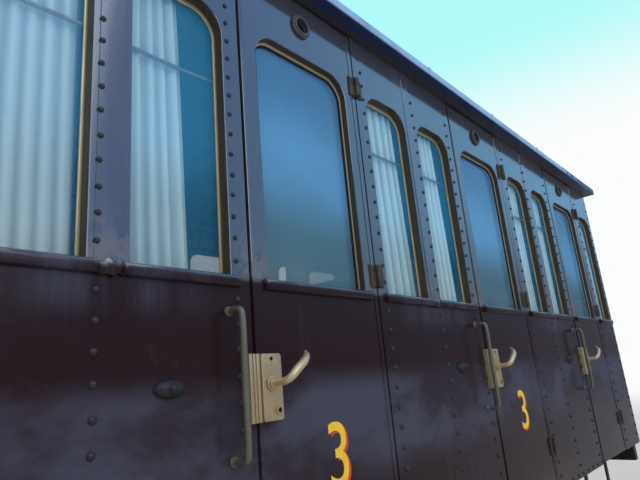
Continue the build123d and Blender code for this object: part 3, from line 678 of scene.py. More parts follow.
def rusty(name, tone, tints, rust=0.5, dust=0.4, scale=5.0):
    """Matt paint with rust coming through and dust on it."""
    f = Finish(name)
    patch = f.noise(scale, 5, 0.65)
    fine = f.noise(scale * 9, 4, 0.65)
    flakes = f.noise(scale * 2.4, 5, 0.7)
    brown = flakes.over(0.5, 0.68) * rust
    grey = patch.over(0.42, 0.7) * dust
    shade = f.blend(grey, tone, tints.dust)
    shade = f.blend(brown, shade, tints.rust)
    shade = f.blend(fine.over(0.58, 0.8) * 0.4, shade, tones(tone, 0.4))
    return f.done(
        Base_Color=shade, Roughness=0.5 + brown * 0.3 + grey * 0.2,
        Normal=f.bump(fine + flakes * 0.6, 0.003, 0.5),
    )


def wood(name, tone, grain_axis, varnish, tints):
    """Boards with grain along one axis."""
    f = Finish(name)
    stretch = tuple(0.9 if axis == grain_axis else 14 for axis in "XYZ")
    grain = f.noise(2.2, 6, 0.6, stretch)
    fine = f.noise(9, 4, 0.7, stretch)
    shade = f.blend(grain.over(0.35, 0.7), tones(tone, 0.55), tone)
    shade = f.blend(fine.over(0.55, 0.8) * 0.5, shade, tones(tone, 0.35))
    shade = f.blend(f.noise(1.5).over(0.5, 0.8) * (1 - varnish) * 0.5, shade, tints.dust)
    return f.done(
        Base_Color=shade, Roughness=0.75 - 0.4 * varnish + fine * 0.15,
        Normal=f.bump(fine + grain, 0.0012, 0.5),
    )


def cloth(tints):
    """Plain woven curtain cloth with painted shade in the hollows of its folds and along the rod.
    """
    f = Finish("coach_curtain")
    where = f.node("ShaderNodeUVMap", {"uv_map": "weave"})
    threads = [
        f.node(
            "ShaderNodeTexWave",
            {"bands_direction": side, "wave_profile": "SIN"},
            {"Vector": where, "Scale": 260.0, "Distortion": 0.4},
            output=1,
        )
        for side in "XY"
    ]
    weave = threads[0] * 0.5 + threads[1] * 0.5
    fold_shade = f.node("ShaderNodeAttribute", {"attribute_name": "fold_shade"}, output=2)
    shade = f.blend(fold_shade, tones(tints.cloth, 0.42), tints.cloth)
    for factor in (f.noise(3.5, 4, 0.6).over(0.5, 0.8) * 0.15, weave * 0.08):
        shade = f.blend(factor, shade, tones(tints.cloth, 0.6))
    return f.done(
        Base_Color=shade, Roughness=0.9, Normal=f.bump(weave, 0.0004, 0.5), Sheen_Weight=0.2,
    )


def glass(name, tint, low_reflection_tint, top_reflection_tint, cover):
    """Window glass that shows what is behind it under a painted reflection of blue sky, darker low
    down as a painted reflection of buildings, and dusty smears.
    """
    f = Finish(name)
    reflection_film = f.noise(1.6, 3, 0.5, (1, 1, 0.5))
    smear = f.noise(5, 4, 0.6, (1, 1, 0.25))
    height = f.axis("Z")
    dust = (1 - height.over(2.13, 2.3)) * smear.over(0.4, 0.6) * 0.3
    # Painted reflection: blue sky, darker low down and in patches where buildings are mirrored
    shade = f.blend(height.over(2.3, 2.6), low_reflection_tint, tint)
    shade = f.blend(height.over(2.65, 3.0), shade, top_reflection_tint)
    shade = f.blend(f.noise(0.8, 3, 0.5).over(0.48, 0.66) * 0.55, shade, low_reflection_tint)
    shade = f.blend(smear.over(0.55, 0.8) * 0.2 + dust, shade, (0.30, 0.38, 0.36))
    f.material.surface_render_method = "BLENDED"
    return f.done(
        Base_Color=shade, Roughness=0.03 + smear.over(0.5, 0.8) * 0.05,
        Alpha=cover + reflection_film * 0.12, Normal=f.bump(reflection_film, 0.004, 0.12), Specular_IOR_Level=0.9,
    )


def paint(name, tone, roughness=0.4):
    """Brushed paint with thin places."""
    f = Finish(name)
    brush = f.noise(24, 4, 0.6, (1, 1, 0.4))
    shade = f.blend(brush.over(0.4, 0.75) * 0.35, tone, tones(tone, 0.55))
    return f.done(
        Base_Color=shade, Roughness=roughness + brush * 0.2, Normal=f.bump(brush, 0.0004, 0.4)
    )


def roof_paint(name, tints, eaves=False):
    """Sooty paint with rain streaks. Under the gutter the eaves carry painted shade: dark navy with
    a painted sky reflection, in the upper enamel's tone beside the wall.
    """
    f = Finish(name)
    streak = f.noise(3, 5, 0.7, (1, 0.12, 0.12))
    fine = f.noise(60, 3, 0.6)
    shade = f.blend(streak.over(0.4, 0.72) * 0.7, tints.roof, tones(tints.roof, 2.1))
    rough = 0.72
    if eaves:
        above = f.axis("Z").over(3.436, 3.444)
        # Painted shade under the eaves, narrowed beside the wall by the upper enamel's tone
        beside_wall = 1 - f.axis("Y").size().over(1.452, 1.462)
        shade = f.blend(above, f.blend(beside_wall * 0.8, SOFFIT_SHADE_AND_REFLECTION, tints.upper), shade)
        rough = 0.3 + above * 0.42
    shade = f.blend(fine.over(0.55, 0.8) * 0.4, shade, tones(tints.roof, 0.45))
    return f.done(
        Base_Color=shade, Roughness=fine * 0.15 + rough, Normal=f.bump(fine, 0.001, 0.5)
    )


finishes = {}

# The finish of each solid that stays in view, by the start of its name
NODE_FINISHES = {
    "end_enamel": ("end_walls", "end_door"),
    "eaves": ("roof_eaves",),
    "roof": ("roof_crown", "roof_ventilators"),
    "glass": ("window_panes",),
    "bench": ("benches",),
    "rack": ("luggage_racks",),
    "floor": ("floor",),
    "step": ("footboards",),
    "frame": (
        "solebars", "underframe", "headstocks", "step_straps", "bogie_frame", "brake_gear",
        "underfloor_gear", "fall_plate",
    ),
    "spring": ("bogie_suspension",),
    "head": ("buffers",),
    "steel": ("draw_hooks",),
    "hinge": ("hinge_post_straps",),
    "brass": ("lock_keepers",),
    "rail": ("grab_rails",),
    "wheel": ("wheelset",),
}


class CoachFinishes(bpy.types.Operator):
    """Makes the finishes and gives them to the solids that stay in view"""

    bl_idname = "coach.finishes"
    bl_label = "Finishes"

    def execute(self, context):
        t = context.scene.coach_colours
        # Worn metals: tone, stain, roughness, wear, grain, metallic
        for name, *values in (
            ("tread", tones(t.steel, 1.1), t.rust, 0.22, 0.15, 20.0),
            ("brass", t.brass, tones(t.brass, 0.35), 0.38, 0.5, 30.0, 0.7),
            ("lever", tones(t.brass, 1.35), t.brass, 0.34, 0.4, 30.0, 0.75),
            ("bead", (0.74, 0.64, 0.40), tones(t.brass, 0.5), 0.3, 0.4, 12.0, 0.7),
            ("ring", (0.13, 0.12, 0.125), tones(t.lining, 0.6), 0.36, 0.6, 30.0, 0.6),
            ("rail", t.rail, tones(t.rail, 0.4), 0.42, 0.5, 30.0, 0.6),
            ("rivet", (0.024, 0.019, 0.025), tones(t.dust, 0.25), 0.3, 0.35, 30.0, 0.0),
            ("stop", (0.016, 0.014, 0.018), tones(t.dust, 0.3), 0.45, 0.4, 30.0, 0.0),
            ("steel", t.steel, t.rust, 0.28, 0.4),
            ("hook", tones(t.steel, 0.34), t.rust, 0.42, 0.6, 16.0, 0.7),
            ("head", tones(t.steel, 0.55), tones(t.rust, 0.7), 0.34, 0.5, 9.0),
            # The gutter's light blue is a painted reflection of the sky, navy in patches
            ("gutter", (0.28, 0.46, 0.74), (0.11, 0.17, 0.30), 0.3, 0.45, 14.0, 0.1),
            ("rack", (0.22, 0.17, 0.10), t.dust, 0.4, 0.5),
        ):
            finishes[name] = metal(f"coach_{name}", *values)
        # Matt paints: tone, rust, dust, scale
        for name, tone, *values in (
            ("hinge", (0.040, 0.032, 0.025), 0.32, 0.35, 22.0),
            ("frame", t.black, 0.45, 0.45, 3.0),
            ("wheel", tones(t.rust, 0.45), 0.5, 0.4, 6.0),
            ("spring", tones(t.dust, 0.4), 0.7, 0.3, 9.0),
        ):
            finishes[name] = rusty(f"coach_{name}", tone, t, *values)
        # Boards: share of the wood's tone, axis of the grain, varnish
        for name, share, grain, varnish in (
            ("moulding", 0.35, "Z", 0.8), ("panel", 0.7, "Z", 0.6), ("bench", 1, "Y", 0.8),
            ("floor", 0.8, "X", 0.1), ("step", 0.6, "X", 0.0),
        ):
            finishes[name] = wood(f"coach_{name}", tones(t.wood, share), grain, varnish, t)
        # Brushed paints: tone, roughness
        for name, tone, rough in (
            # Near-black seal paint: a pane's rubber seal, and painted shade on the edges in the
            # door gaps and inside the vent holes
            ("lining", t.lining, 0.3), ("seal_and_shade", (0.006, 0.005, 0.005), 0.6),
            ("pale", (0.62, 0.62, 0.58), 0.45), ("yellow", t.numeral, 0.4),
            # The near-black hole paint is painted shade for shallow hollows
            ("red", t.numeral_edge, 0.4), ("hole", (0.004, 0.0035, 0.003), 0.8),
        ):
            finishes[name] = paint(f"coach_{name}", tone, rough)
        finishes.update(
            enamel=enamel("coach_enamel", t),
            end_enamel=enamel("coach_end_enamel", t, 0.12),
            roof=roof_paint("coach_roof", t),
            eaves=roof_paint("coach_eaves", t, True),
            cloth=cloth(t),
            # Both glasses carry a painted sky reflection; the door panes have a grey-blue painted
            # reflection low down
            glass=glass("coach_glass", t.glass, tones(t.glass, 0.5), tones(t.glass, 0.9), 0.14),
            door_glass=glass(
                "coach_door_glass", (0.16, 0.50, 0.92), (0.10, 0.24, 0.34), (0.09, 0.30, 0.60),
                0.42,
            ),
        )
        for finish, starts in NODE_FINISHES.items():
            for node, piece in frame["nodes"].items():
                if node.startswith(starts):
                    wear(piece, finish)
        return {"FINISHED"}


# The side: sheets, windows and rivets
def arch(name, width, y_from, y_to, sizes, grow=0.0, x=0.0):
    """A block the shape of a window, with rounded upper corners."""
    low, high = sizes.window_bottom - grow, sizes.window_top + grow
    half = width / 2 + grow
    piece = slab(name, (x - half, y_from, low), (x + half, y_to, high))
    return ease(
        piece, sizes.window_corner + grow, sizes.corner_steps,
        lambda edge: along(edge, 1) and middle(edge).z > high - 0.001,
    )


def window_hole(width, sizes, x=0.0):
    """What a window takes out of a sheet."""
    return arch("hole", width, FACE - 0.1, WALL_BACK + 0.1, sizes, x=x)


def ring(name, width, sizes, wide, back, depth):
    """A frame round a window, seen before its glass, named after its finish."""
    piece = arch(name, width, back - depth, back, sizes, -0.0004)
    hole = arch("hole", width, back - 0.05, back + 0.05, sizes, -wide)
    hole.data.transform(Matrix.Translation((0, 0, -0.008)))
    cut(piece, hole)
    front = before(back - depth + 0.0005)
    ease(piece, wide * 0.3, 2, lambda edge: front(edge) and sharp(1)(edge))
    return wear(smooth(piece, 35), name)


def rim(piece, width):
    """Rounds the outer edges of a sheet and of the windows in it."""
    def outer(edge):
        return all(abs(end.co.y - FACE) < 1e-4 for end in edge.verts) and sharp(1)(edge)
    return ease(piece, width, 2, outer)


def strip(name, xs, zs, proud, width, steps=1):
    """A strip that stands out from the side, its front edges rounded."""
    piece = slab(name, (xs[0], FACE - proud, zs[0]), (xs[1], SEAT, zs[1]))
    return wear(ease(piece, width, steps, before(FACE - proud * 0.6)), "enamel")


def drip_bar(width, sizes):
    """The rounded bar that throws rain off below a window."""
    half, sill = width / 2 + 0.026, sizes.window_bottom
    return smooth(strip("bar", (-half, half), (sill - 0.031, sill + 0.007), 0.019, 0.012, 3), 50)


def repaint(piece, finish, test):
    """Gives another finish to the faces that a test picks."""
    looks, look = piece.data.materials, finishes[finish]
    if look.name not in looks:
        looks.append(look)
    for face in piece.data.polygons:
        if test(face):
            face.material_index = looks.find(look.name)


def line_openings(piece, sizes, windows, width):
    """Gives a sheet its brown window linings, the near-black painted shade of its ends in the door
    gaps and the wood of its back.
    """
    ends = [vertex.co.x for vertex in piece.data.vertices]
    first, last = min(ends), max(ends)

    def opening(face):
        spot = face.center
        inside = any(abs(spot.x - x) < width / 2 + 0.0005 for x in windows)
        level = sizes.window_bottom - 0.001 < spot.z < sizes.window_top + 0.001
        depth = FACE + 0.003 < spot.y < WALL_BACK - 0.0001
        return inside and level and depth and abs(face.normal.y) < 0.5

    def edge(face):
        spot = face.center.x
        return abs(face.normal.x) > 0.9 and min(spot - first, last - spot) < 1e-4

    repaint(piece, "lining", opening)
    # Painted shade: the ends that face the door gaps are near-black
    repaint(piece, "seal_and_shade", edge)
    repaint(piece, "panel", lambda face: face.normal.y > 0.9 and face.center.y > FACE + 0.03)


def window_shift(sizes):
    """From the line between two bays to the middle of the window beside it."""
    return (sizes.pillar + sizes.window_width) / 2


def window_xs(sizes):
    """The middles of the windows between the doors: those right of a line, then those left."""
    shift = window_shift(sizes)
    return [x + shift for x in LINES[:-1]] + [x - shift for x in LINES[1:]]


class CoachSides(bpy.types.Operator):
    """Models the sheets between the doors, with window openings, cover strips and drip bars"""

    bl_idname = "coach.sides"
    bl_label = "Sides"

    def execute(self, context):
        sizes = context.scene.coach_sizes
        wide, sill = sizes.window_width, sizes.window_bottom
        reach = BAY / 2 - sizes.door_width / 2 - sizes.door_gap
        shift = window_shift(sizes)

        def section(x_from, x_to, windows):
            piece = slab("sheet", (x_from, FACE, WALL_BOTTOM), (x_to, WALL_BACK, WALL_TOP))
            for x in windows:
                cut(piece, window_hole(wide, sizes, x))
            line_openings(wear(rim(piece, 0.0025), "enamel"), sizes, windows, wide)
            return piece

        sheets = every_bay(
            "sheet", section(-reach, reach, (-shift, shift)), section(0, reach, (shift,)),
            section(-reach, 0, (-shift,)),
        )
        cover = strip("strip", (-0.040, 0.040), (sill - 0.020, WALL_TOP), 0.003, 0.0015)
        sheets.append(repeated(cover, "strips", spots(LINES[1:-1])))
        places = spots(window_xs(sizes))
        sheets.append(repeated(drip_bar(wide, sizes), "bars", places))
        side = flatten(smooth(joined(sheets, "side"), 40))
        put_both(side, "side", "brown_enamel", ("side_wall_near", "side_wall_far"))
        bead = ring("bead", wide, sizes, sizes.bead, WALL_BACK - 0.0006, sizes.bead_depth)
        put_both(repeated(bead, "beads", places), "window_beads", "lock_brass")
        self.joints(sill - 0.012)
        return {"FINISHED"}

    def joints(self, level):
        """The lumpy joints of filler between the drip bars, under old paint."""
        dice = random.Random(7)
        lumps = []
        for line in LINES[1:-1]:
            lump = slab(
                "lump", (line - 0.034, FACE - 0.010, level - 0.016),
                (line + 0.034, SEAT, level + 0.014),
            )
            with Shaping(lump) as work:
                work.whole()
                bpy.ops.mesh.subdivide(number_cuts=4, smoothness=0.4)
            for vertex in lump.data.vertices:
                if vertex.co.y < FACE - 0.0005:
                    vertex.co += Vector(dice.uniform(-0.0022, 0.0022) for _ in range(3))
                    vertex.co.z += 0.004 * math.sin(vertex.co.x * 190 + line)
            lumps.append(lump)
        lumps = wear(smooth(joined(lumps, "lumps"), 60), "enamel")
        put_both(lumps, "sill_joints", "brown_enamel")


def rivet_levels(sizes):
    """Heights of a column of rivets, wider apart below the sill."""
    levels = []
    z = sizes.window_bottom + 0.055
    while z < WALL_TOP - 0.03:
        levels.append(z)
        z += sizes.pitch_high
    z = sizes.window_bottom - 0.068
    while z > WALL_BOTTOM + 0.03:
        levels.append(z)
        z -= sizes.pitch_low
    return levels


class CoachRivets(bpy.types.Operator):
    """Models one rivet and copies it along the columns of both sides"""

    bl_idname = "coach.rivets"
    bl_label = "Rivets"

    def execute(self, context):
        sizes = context.scene.coach_sizes
        half, sill = sizes.door_width / 2, sizes.window_bottom
        left, right, end = 0.060, 0.062, 0.03  # to the columns beside a door, at an end
        even, odd, cover = 0.032, -0.033, 0.003  # from a line to the column on its cover strip
        foot_count, foot_pitch, foot_level = 9, 0.11, WALL_BOTTOM + 0.022
        columns = []
        for centre in CENTRES:
            columns += [(centre - half - left, FACE), (centre + half + right, FACE)]
        for number, line in enumerate(LINES[1:-1], start=1):
            columns.append((line + (odd if number % 2 else even), FACE - cover))
        columns += [(LINES[0] + end, FACE), (LINES[-1] - end, FACE)]
        dice = random.Random(4)

        def loose(x, y, z):
            """A rivet's place, a little off its line."""
            across = x + dice.uniform(-0.0015, 0.0015)
            return across, y if z > sill else FACE, z + dice.uniform(-0.002, 0.002)

        places = [loose(x, y, z) for x, y in columns for z in rivet_levels(sizes)]
        for line in LINES[1:-1]:
            first = (foot_count - 1) / 2 * foot_pitch
            row = (line + n * foot_pitch - first for n in range(foot_count))
            places += [(x, FACE, foot_level) for x in row]
        upper = [place for place in places if place[2] > sill]
        lower = [place for place in places if place[2] < sill]
        rivets = joined([
            repeated(rivet_head(sizes.rivet), "rivets", upper),
            repeated(rivet_head(sizes.rivet_low), "rivets", lower),
        ], "rivets")
        put_both(wear(rivets, "rivet"), "rivets", "brown_enamel")
        return {"FINISHED"}


class CoachDoorStops(bpy.types.Operator):
    """Models the dark oval stops that catch the opened doors"""

    bl_idname = "coach.door_stops"
    bl_label = "Door stops"

    def execute(self, context):
        half = context.scene.coach_sizes.door_width / 2
        stop = ball_half("stop", 20, 12, 1, (0.0475, 0.024, 0.025))
        nub = copied(stop, "nub", (0, -0.017, 0), Matrix.Diagonal((0.32, 0.6, 0.6, 1)))
        stop = smooth(joined([stop, nub], "stop"), 50)
        away, level = 1.336, 1.817  # from the lock's edge of a door to where its leaf is caught
        places = [(centre + away - half, FACE, level) for centre in CENTRES[:-1]]
        put_both(wear(repeated(stop, "stops", places), "stop"), "door_stops", "hinge_iron")
        return {"FINISHED"}


# Side doors
def door_leaf(sizes):
    """The leaf with its window, drip bar, seam and vent hole."""
    half, wide = sizes.door_width / 2, sizes.door_window
    low, high = WALL_BOTTOM + sizes.door_gap, WALL_TOP - sizes.door_gap
    back = FACE + sizes.door_thick
    leaf = slab("leaf", (-half, FACE, low), (half, back, high))
    cut(leaf, window_hole(wide, sizes))
    cut(leaf, disc("hole", (0, FACE, VENT_Z), VENT_RADIUS, 0.056, 28))
    rim(leaf, 0.0035)
    line_openings(wear(leaf, "enamel"), sizes, (0,), wide)

    def vent_hole(face):
        spot = face.center
        return math.hypot(spot.x, spot.z - VENT_Z) < VENT_RADIUS - 0.0005 and spot.y > SEAT

    # Painted shade: the inside of the vent hole is near-black
    repaint(leaf, "seal_and_shade", vent_hole)
    seam = strip("seam", (half - 0.030, half - 0.006), (low + 0.01, high - 0.01), 0.003, 0.0015)
    edge = strip(
        "edge", (-half + 0.0006, -half + 0.0125), (low + 0.003, high - 0.003), 0.0045, 0.0035, 2
    )

    def window_block(name, grow, y_from, y_to):
        reach = wide / 2 + grow
        bottom, top = sizes.window_bottom - grow, sizes.window_top + grow
        return slab(name, (-reach, y_from, bottom), (reach, y_to, top))

    inside = window_block("frame", 0.052, back - 0.001, back + 0.010)
    cut(inside, window_block("hole", 0.0125, back - 0.1, back + 0.1))
    wear(ease(inside, 0.003, 2, lambda edge: middle(edge).y > back + 0.009), "moulding")
    parts = [leaf, seam, drip_bar(wide, sizes), edge, inside]
    return flatten(smooth(joined(parts, "leaf"), 40))


def vent_ring():
    """The ring round the vent hole above a door's window."""
    piece = disc("vent", (0, FACE - 0.005, VENT_Z), 0.053, 0.012, 36)
    pushed(piece, "-Y", ((0.008, 0.006),))
    cut(piece, disc("hole", (0, FACE, VENT_Z), VENT_RADIUS + 0.003, 0.06, 36))
    return smooth(wear(ease(piece, 0.0025, 2, sharp(0.6)), "ring"), 40)


def hinge_half(trim, sizes, door_side):
    """A hinge's leaf with its two screws; the door's has the barrel."""
    axis_x = sizes.door_width / 2 + sizes.door_gap / 2
    high = trim.hinge_height / 2
    near, away = (-0.044, -0.0035) if door_side else (0.0125, 0.044)
    xs = axis_x + near, axis_x + away
    screw_x = sum(xs) / 2 - (0.004 if door_side else -0.003)
    parts = [strip("hinge", xs, (-high, high), 0.008, 0.0025, 2)]
    for z in (-0.028, 0.028):
        screw = disc("screw", (screw_x, FACE - 0.0085, z), 0.007, 0.004, 10)
        parts.append(ease(screw, 0.0015, 1, before(FACE - 0.009)))
    if door_side:
        knuckle = high * 0.36
        barrel = disc("barrel", (axis_x, FACE - 0.014, 0), trim.hinge_barrel, 2 * high, 16, "Z")
        with Shaping(barrel) as work:
            for z in (-knuckle, knuckle):
                work.slice((0, 0, z), (0, 0, 1))
            work.pick("EDGE", lambda edge: abs(abs(middle(edge).z) - knuckle) < 1e-4)
            bpy.ops.mesh.bevel(offset=0.0015, segments=1, affect="EDGES")
        parts.append(ease(barrel, 0.0025, 2, lambda edge: abs(middle(edge).z) > high - 1e-4))
    return wear(smooth(joined(parts, "hinge"), 40), "hinge")


def numeral(trim):
    """The class numeral in yellow before its red shadow."""
    wide, x, lift, parts = 0.096, 0.007, 0.0002, []
    for finish, right, up, depth in (("yellow", 0, 0, 0.0012), ("red", 0.012, -0.009, 0.0006)):
        letter = bpy.data.curves.new("numeral", "FONT")
        letter.body, letter.align_x, letter.align_y = "3", "CENTER", "CENTER"
        letter.extrude, letter.offset, letter.resolution_u = depth / 2, 0.002, 6
        piece = meshed("numeral", letter)
        corners = [Vector(corner) for corner in piece.bound_box]
        low = Vector(min(corner[i] for corner in corners) for i in range(3))
        high = Vector(max(corner[i] for corner in corners) for i in range(3))
        scale = (wide / (high.x - low.x), trim.numeral / (high.y - low.y), 1, 1)
        place = (x + right, FACE - depth / 2 - lift, trim.numeral_middle + up)
        piece.data.transform(
            Matrix.Translation(place)
            @ Matrix.Rotation(math.pi / 2, 4, "X")
            @ Matrix.Diagonal(scale)
            @ Matrix.Translation((low + high) / -2)
        )
        parts.append(wear(piece, finish))
    return joined(parts, "numeral")


def lock_plate(sizes, trim):
    """The lock on the door: plate, rose, key socket and lever."""
    left = -sizes.door_width / 2
    front = FACE - trim.lock_proud
    z, half = trim.lock_middle, trim.lock_height / 2
    key_x, key_z = left + 0.060, z - 0.070
    plate = slab("plate", (left, front, z - half), (left + trim.lock_width, SEAT, z + half))
    ease(plate, 0.009, 3, lambda edge: along(edge, 1))
    ease(plate, 0.004, 2, before(front + 0.001))
    screw = disc("screw", (left + 0.04, front - 0.0005, z + half - 0.016), 0.0055, 0.003, 12)
    pushed(screw, "-Y", ((0.0015, -0.0012),))
    rose = disc("rose", (left + 0.038, front - 0.004, z + 0.010), 0.0245, 0.010, 28)
    ease(pushed(rose, "-Y", ((0.005, 0.008), (0.004, 0))), 0.0015, 2, sharp(0.6))
    socket = disc("socket", (key_x, front - 0.003, key_z), 0.012, 0.008, 20)
    pushed(socket, "-Y", ((0.004, -0.005),))
    knots = (
        (0.038, front - 0.006, 0.010), (0.039, FACE - 0.068, 0.011), (0.046, FACE - 0.094, 0.018),
        (0.077, FACE - 0.103, 0.046), (0.112, FACE - 0.099, 0.068), (0.141, FACE - 0.083, 0.086),
        (0.158, FACE - 0.064, 0.099),
    )
    radii = (0.0115, 0.011, 0.012, 0.014, 0.0135, 0.0105, 0.006)
    lever = rod("lever", [(left + x, y, z + up) for x, y, up in knots], radii, 4)
    hole = disc("key_hole", (key_x, front - 0.0025, key_z), 0.0078, 0.002, 16)
    pushed(hole, "-Y", ((0.002, 0),))
    parts = [wear(part, "brass") for part in (plate, rose, socket)]
    # The key hole and the sunk screw are near-black: painted shade of their hollows
    parts += [wear(screw, "hole"), wear(lever, "lever"), wear(hole, "hole")]
    return smooth(joined(parts, "lock"), 40)


def pane(width, y, sizes):
    """A pane a little larger than its opening, its edges just eased."""
    lap = 0.012
    half, low, high = width / 2 + lap, sizes.window_bottom - lap, sizes.window_top + lap
    piece = slab("glazing", (-half, y + 0.0003, low), (half, y + 0.0053, high))
    return wear(ease(piece, 0.0008), "door_glass")


class CoachDoors(bpy.types.Operator):
    """Models one side door with hinges, lock, lever and pane, and hangs a copy in every bay"""

    bl_idname = "coach.doors"
    bl_label = "Doors"

    def execute(self, context):
        sizes, trim = context.scene.coach_sizes, context.scene.coach_trim
        wide, back = sizes.door_window, FACE + sizes.door_thick
        leaf = door_leaf(sizes)
        hinges = repeated(hinge_half(trim, sizes, True), "hinges", spots((0,), HINGE_LEVELS))
        plain = joined([leaf, hinges, vent_ring()], "plain_leaf")
        marked = joined([copied(plain, "marked_leaf"), numeral(trim)], "marked_leaf")
        seal_and_shade = ring("seal_and_shade", wide, sizes, sizes.seal_and_shade, back - 0.0006, 0.005)
        bead = ring("bead", wide, sizes, 0.005, back - 0.0060, 0.006)
        fittings = joined([bead, seal_and_shade, lock_plate(sizes, trim)], "fittings")
        glazing = pane(wide, back, sizes)
        for number, centre in enumerate(CENTRES, start=1):
            model = plain if number == len(CENTRES) else marked
            for side, turn in SIDES:
                node = f"door_{side}_{number:02d}"
                place = (-centre if turn else centre, 0, 0)
                for source, ending, slot in (
                    (model, "leaf", "brown_enamel"),
                    (fittings, "fittings", "lock_brass"),
                    (glazing, "pane", "window_glass"),
                ):
                    put(copied(source, f"{node}_{ending}", place, turn), node, slot, (node,))
        discard(plain, marked, fittings, glazing)
        posts = repeated(hinge_half(trim, sizes, False), "posts", spots(CENTRES, HINGE_LEVELS))
        put_both(posts, "hinge_posts", "hinge_iron", ("hinge_post_straps",))
        return {"FINISHED"}


class CoachRails(bpy.types.Operator):
    """Models the keepers and the hand rails beside the doors"""

    bl_idname = "coach.rails"
    bl_label = "Keepers and hand rails"

    def execute(self, context):
        sizes, trim = context.scene.coach_sizes, context.scene.coach_trim
        rails = repeated(self.rail(sizes, trim), "rails", spots(CENTRES))
        put_both(rails, "hand_rails", "rail_brass", ("grab_rails",))
        keepers = repeated(self.keeper(sizes, trim), "keepers", spots(CENTRES))
        put_both(keepers, "keepers", "lock_brass", ("lock_keepers",))
        return {"FINISHED"}

    def rail(self, sizes, trim):
        """A hand rail with its two feet."""
        x = -sizes.door_width / 2 - trim.rail_away
        out = FACE - trim.rail_stand
        low, high = trim.rail_bottom + 0.014, trim.rail_top - 0.014
        knots = ((FACE - 0.006, 0), (out + 0.020, 0), (out + 0.005, 0.005), (out, 0.022))
        mid = (low + high) / 2
        parts = [grip("bar", lambda y, z: (x, y, z), knots, low, high, mid, trim.rail_rod)]
        for z in (low, high):
            foot = disc("foot", (x, FACE - 0.002, z), 0.0155, 0.006, 18)
            parts.append(ease(pushed(foot, "-Y", ((0.003, 0.006),)), 0.0015, 1, sharp(0.6)))
        return smooth(wear(joined(parts, "rail"), "rail"), 50)

    def keeper(self, sizes, trim):
        """The keeper on the post, with two upright grooves."""
        right, wide = -sizes.door_width / 2 - sizes.door_gap, trim.keeper_width
        front = FACE - trim.lock_proud
        z, half = trim.lock_middle, trim.lock_height / 2
        grooves = ((0.30, 0.42), (0.60, 0.72))
        piece = slab("keeper", (right - wide, front, z - half), (right, SEAT, z + half))

        def grooved(face):
            share = (right - face.calc_center_median().x) / wide
            return face.normal.y < -0.9 and any(low < share < high for low, high in grooves)

        with Shaping(piece) as work:
            for share in (*grooves[0], *grooves[1]):
                work.slice((right - wide * share, 0, 0), (1, 0, 0))
            work.pick("FACE", grooved)
            bpy.ops.mesh.extrude_region_move(TRANSFORM_OT_translate={"value": (0, 0.004, 0)})
        fore = before(front + 0.001)
        ease(piece, 0.002, 2, lambda edge: fore(edge) and sharp(0.8)(edge))
        return smooth(wear(piece, "brass"), 40)


# Curtains behind the windows between the doors
def level_bar(name, xs, y, z, sag, radius):
    """A thin rod along the coach that sags a little."""
    knots = [(xs[0], y, z), (sum(xs) / 2, y, z - sag), (xs[1], y, z)]
    return rod(name, knots, radius, 2)


def curtain(x_from, x_to, spread, low, high, y, folds, dice):
    """A hanging curtain with folds that open downwards, and its width before it was gathered."""
    clear()
    bpy.ops.mesh.primitive_grid_add(x_subdivisions=folds * 10, y_subdivisions=12, size=1)
    piece = settle("curtain")
    phase = [dice.uniform(0, 6.28) for _ in range(4)]
    weave = piece.data.uv_layers[0]
    weave.name = "weave"
    fold_shade = piece.data.attributes.new("fold_shade", "FLOAT", "POINT")
    tie = (CURTAIN_ROD_Z - low) / (high - low)
    # The folds wander, are held in at the rod, open downwards and sway near the hem
    for vertex in piece.data.vertices:
        across, up = vertex.co.x + 0.5, vertex.co.y + 0.5
        turn = across * folds * 2 * math.pi
        drift = 1.5 * math.sin(across * 5 + phase[0]) + 0.5 * math.sin(up * 2.4 + phase[1])
        held = math.exp(-((up - tie) / 0.022) ** 2)
        depth = 0.0105 * (1 - 0.3 * up) * (0.7 + 0.3 * math.sin(across * 9 + phase[2]))
        depth *= 1 - 0.6 * held
        wave = math.sin(turn + drift) + 0.25 * math.sin(2.3 * turn + phase[3])
        sway = 0.004 * math.sin(up * 3 + phase[3] + across * 2)
        x = x_from + (x_to + spread * (1 - up) - x_from) * across + sway * (1 - up)
        vertex.co = (x, y + depth * wave * 0.85, low + (high - low) * up)
        # Painted shade for the cloth: darker in the hollows of the folds and in a band along the
        # rod
        fold_shade.data[vertex.index].value = min(1, max(0, 0.68 - 0.5 * wave - 0.8 * held))
    hem = [vertex.co.copy() for vertex in piece.data.vertices if vertex.co.z < low + 1e-5]
    hem.sort(key=lambda point: point.x)
    wide = sum((after - point).length for point, after in zip(hem, hem[1:]))
    for loop in piece.data.loops:
        spot = weave.data[loop.index].uv
        spot.x, spot.y = spot.x * wide, spot.y * (high - low)
    return piece, wide


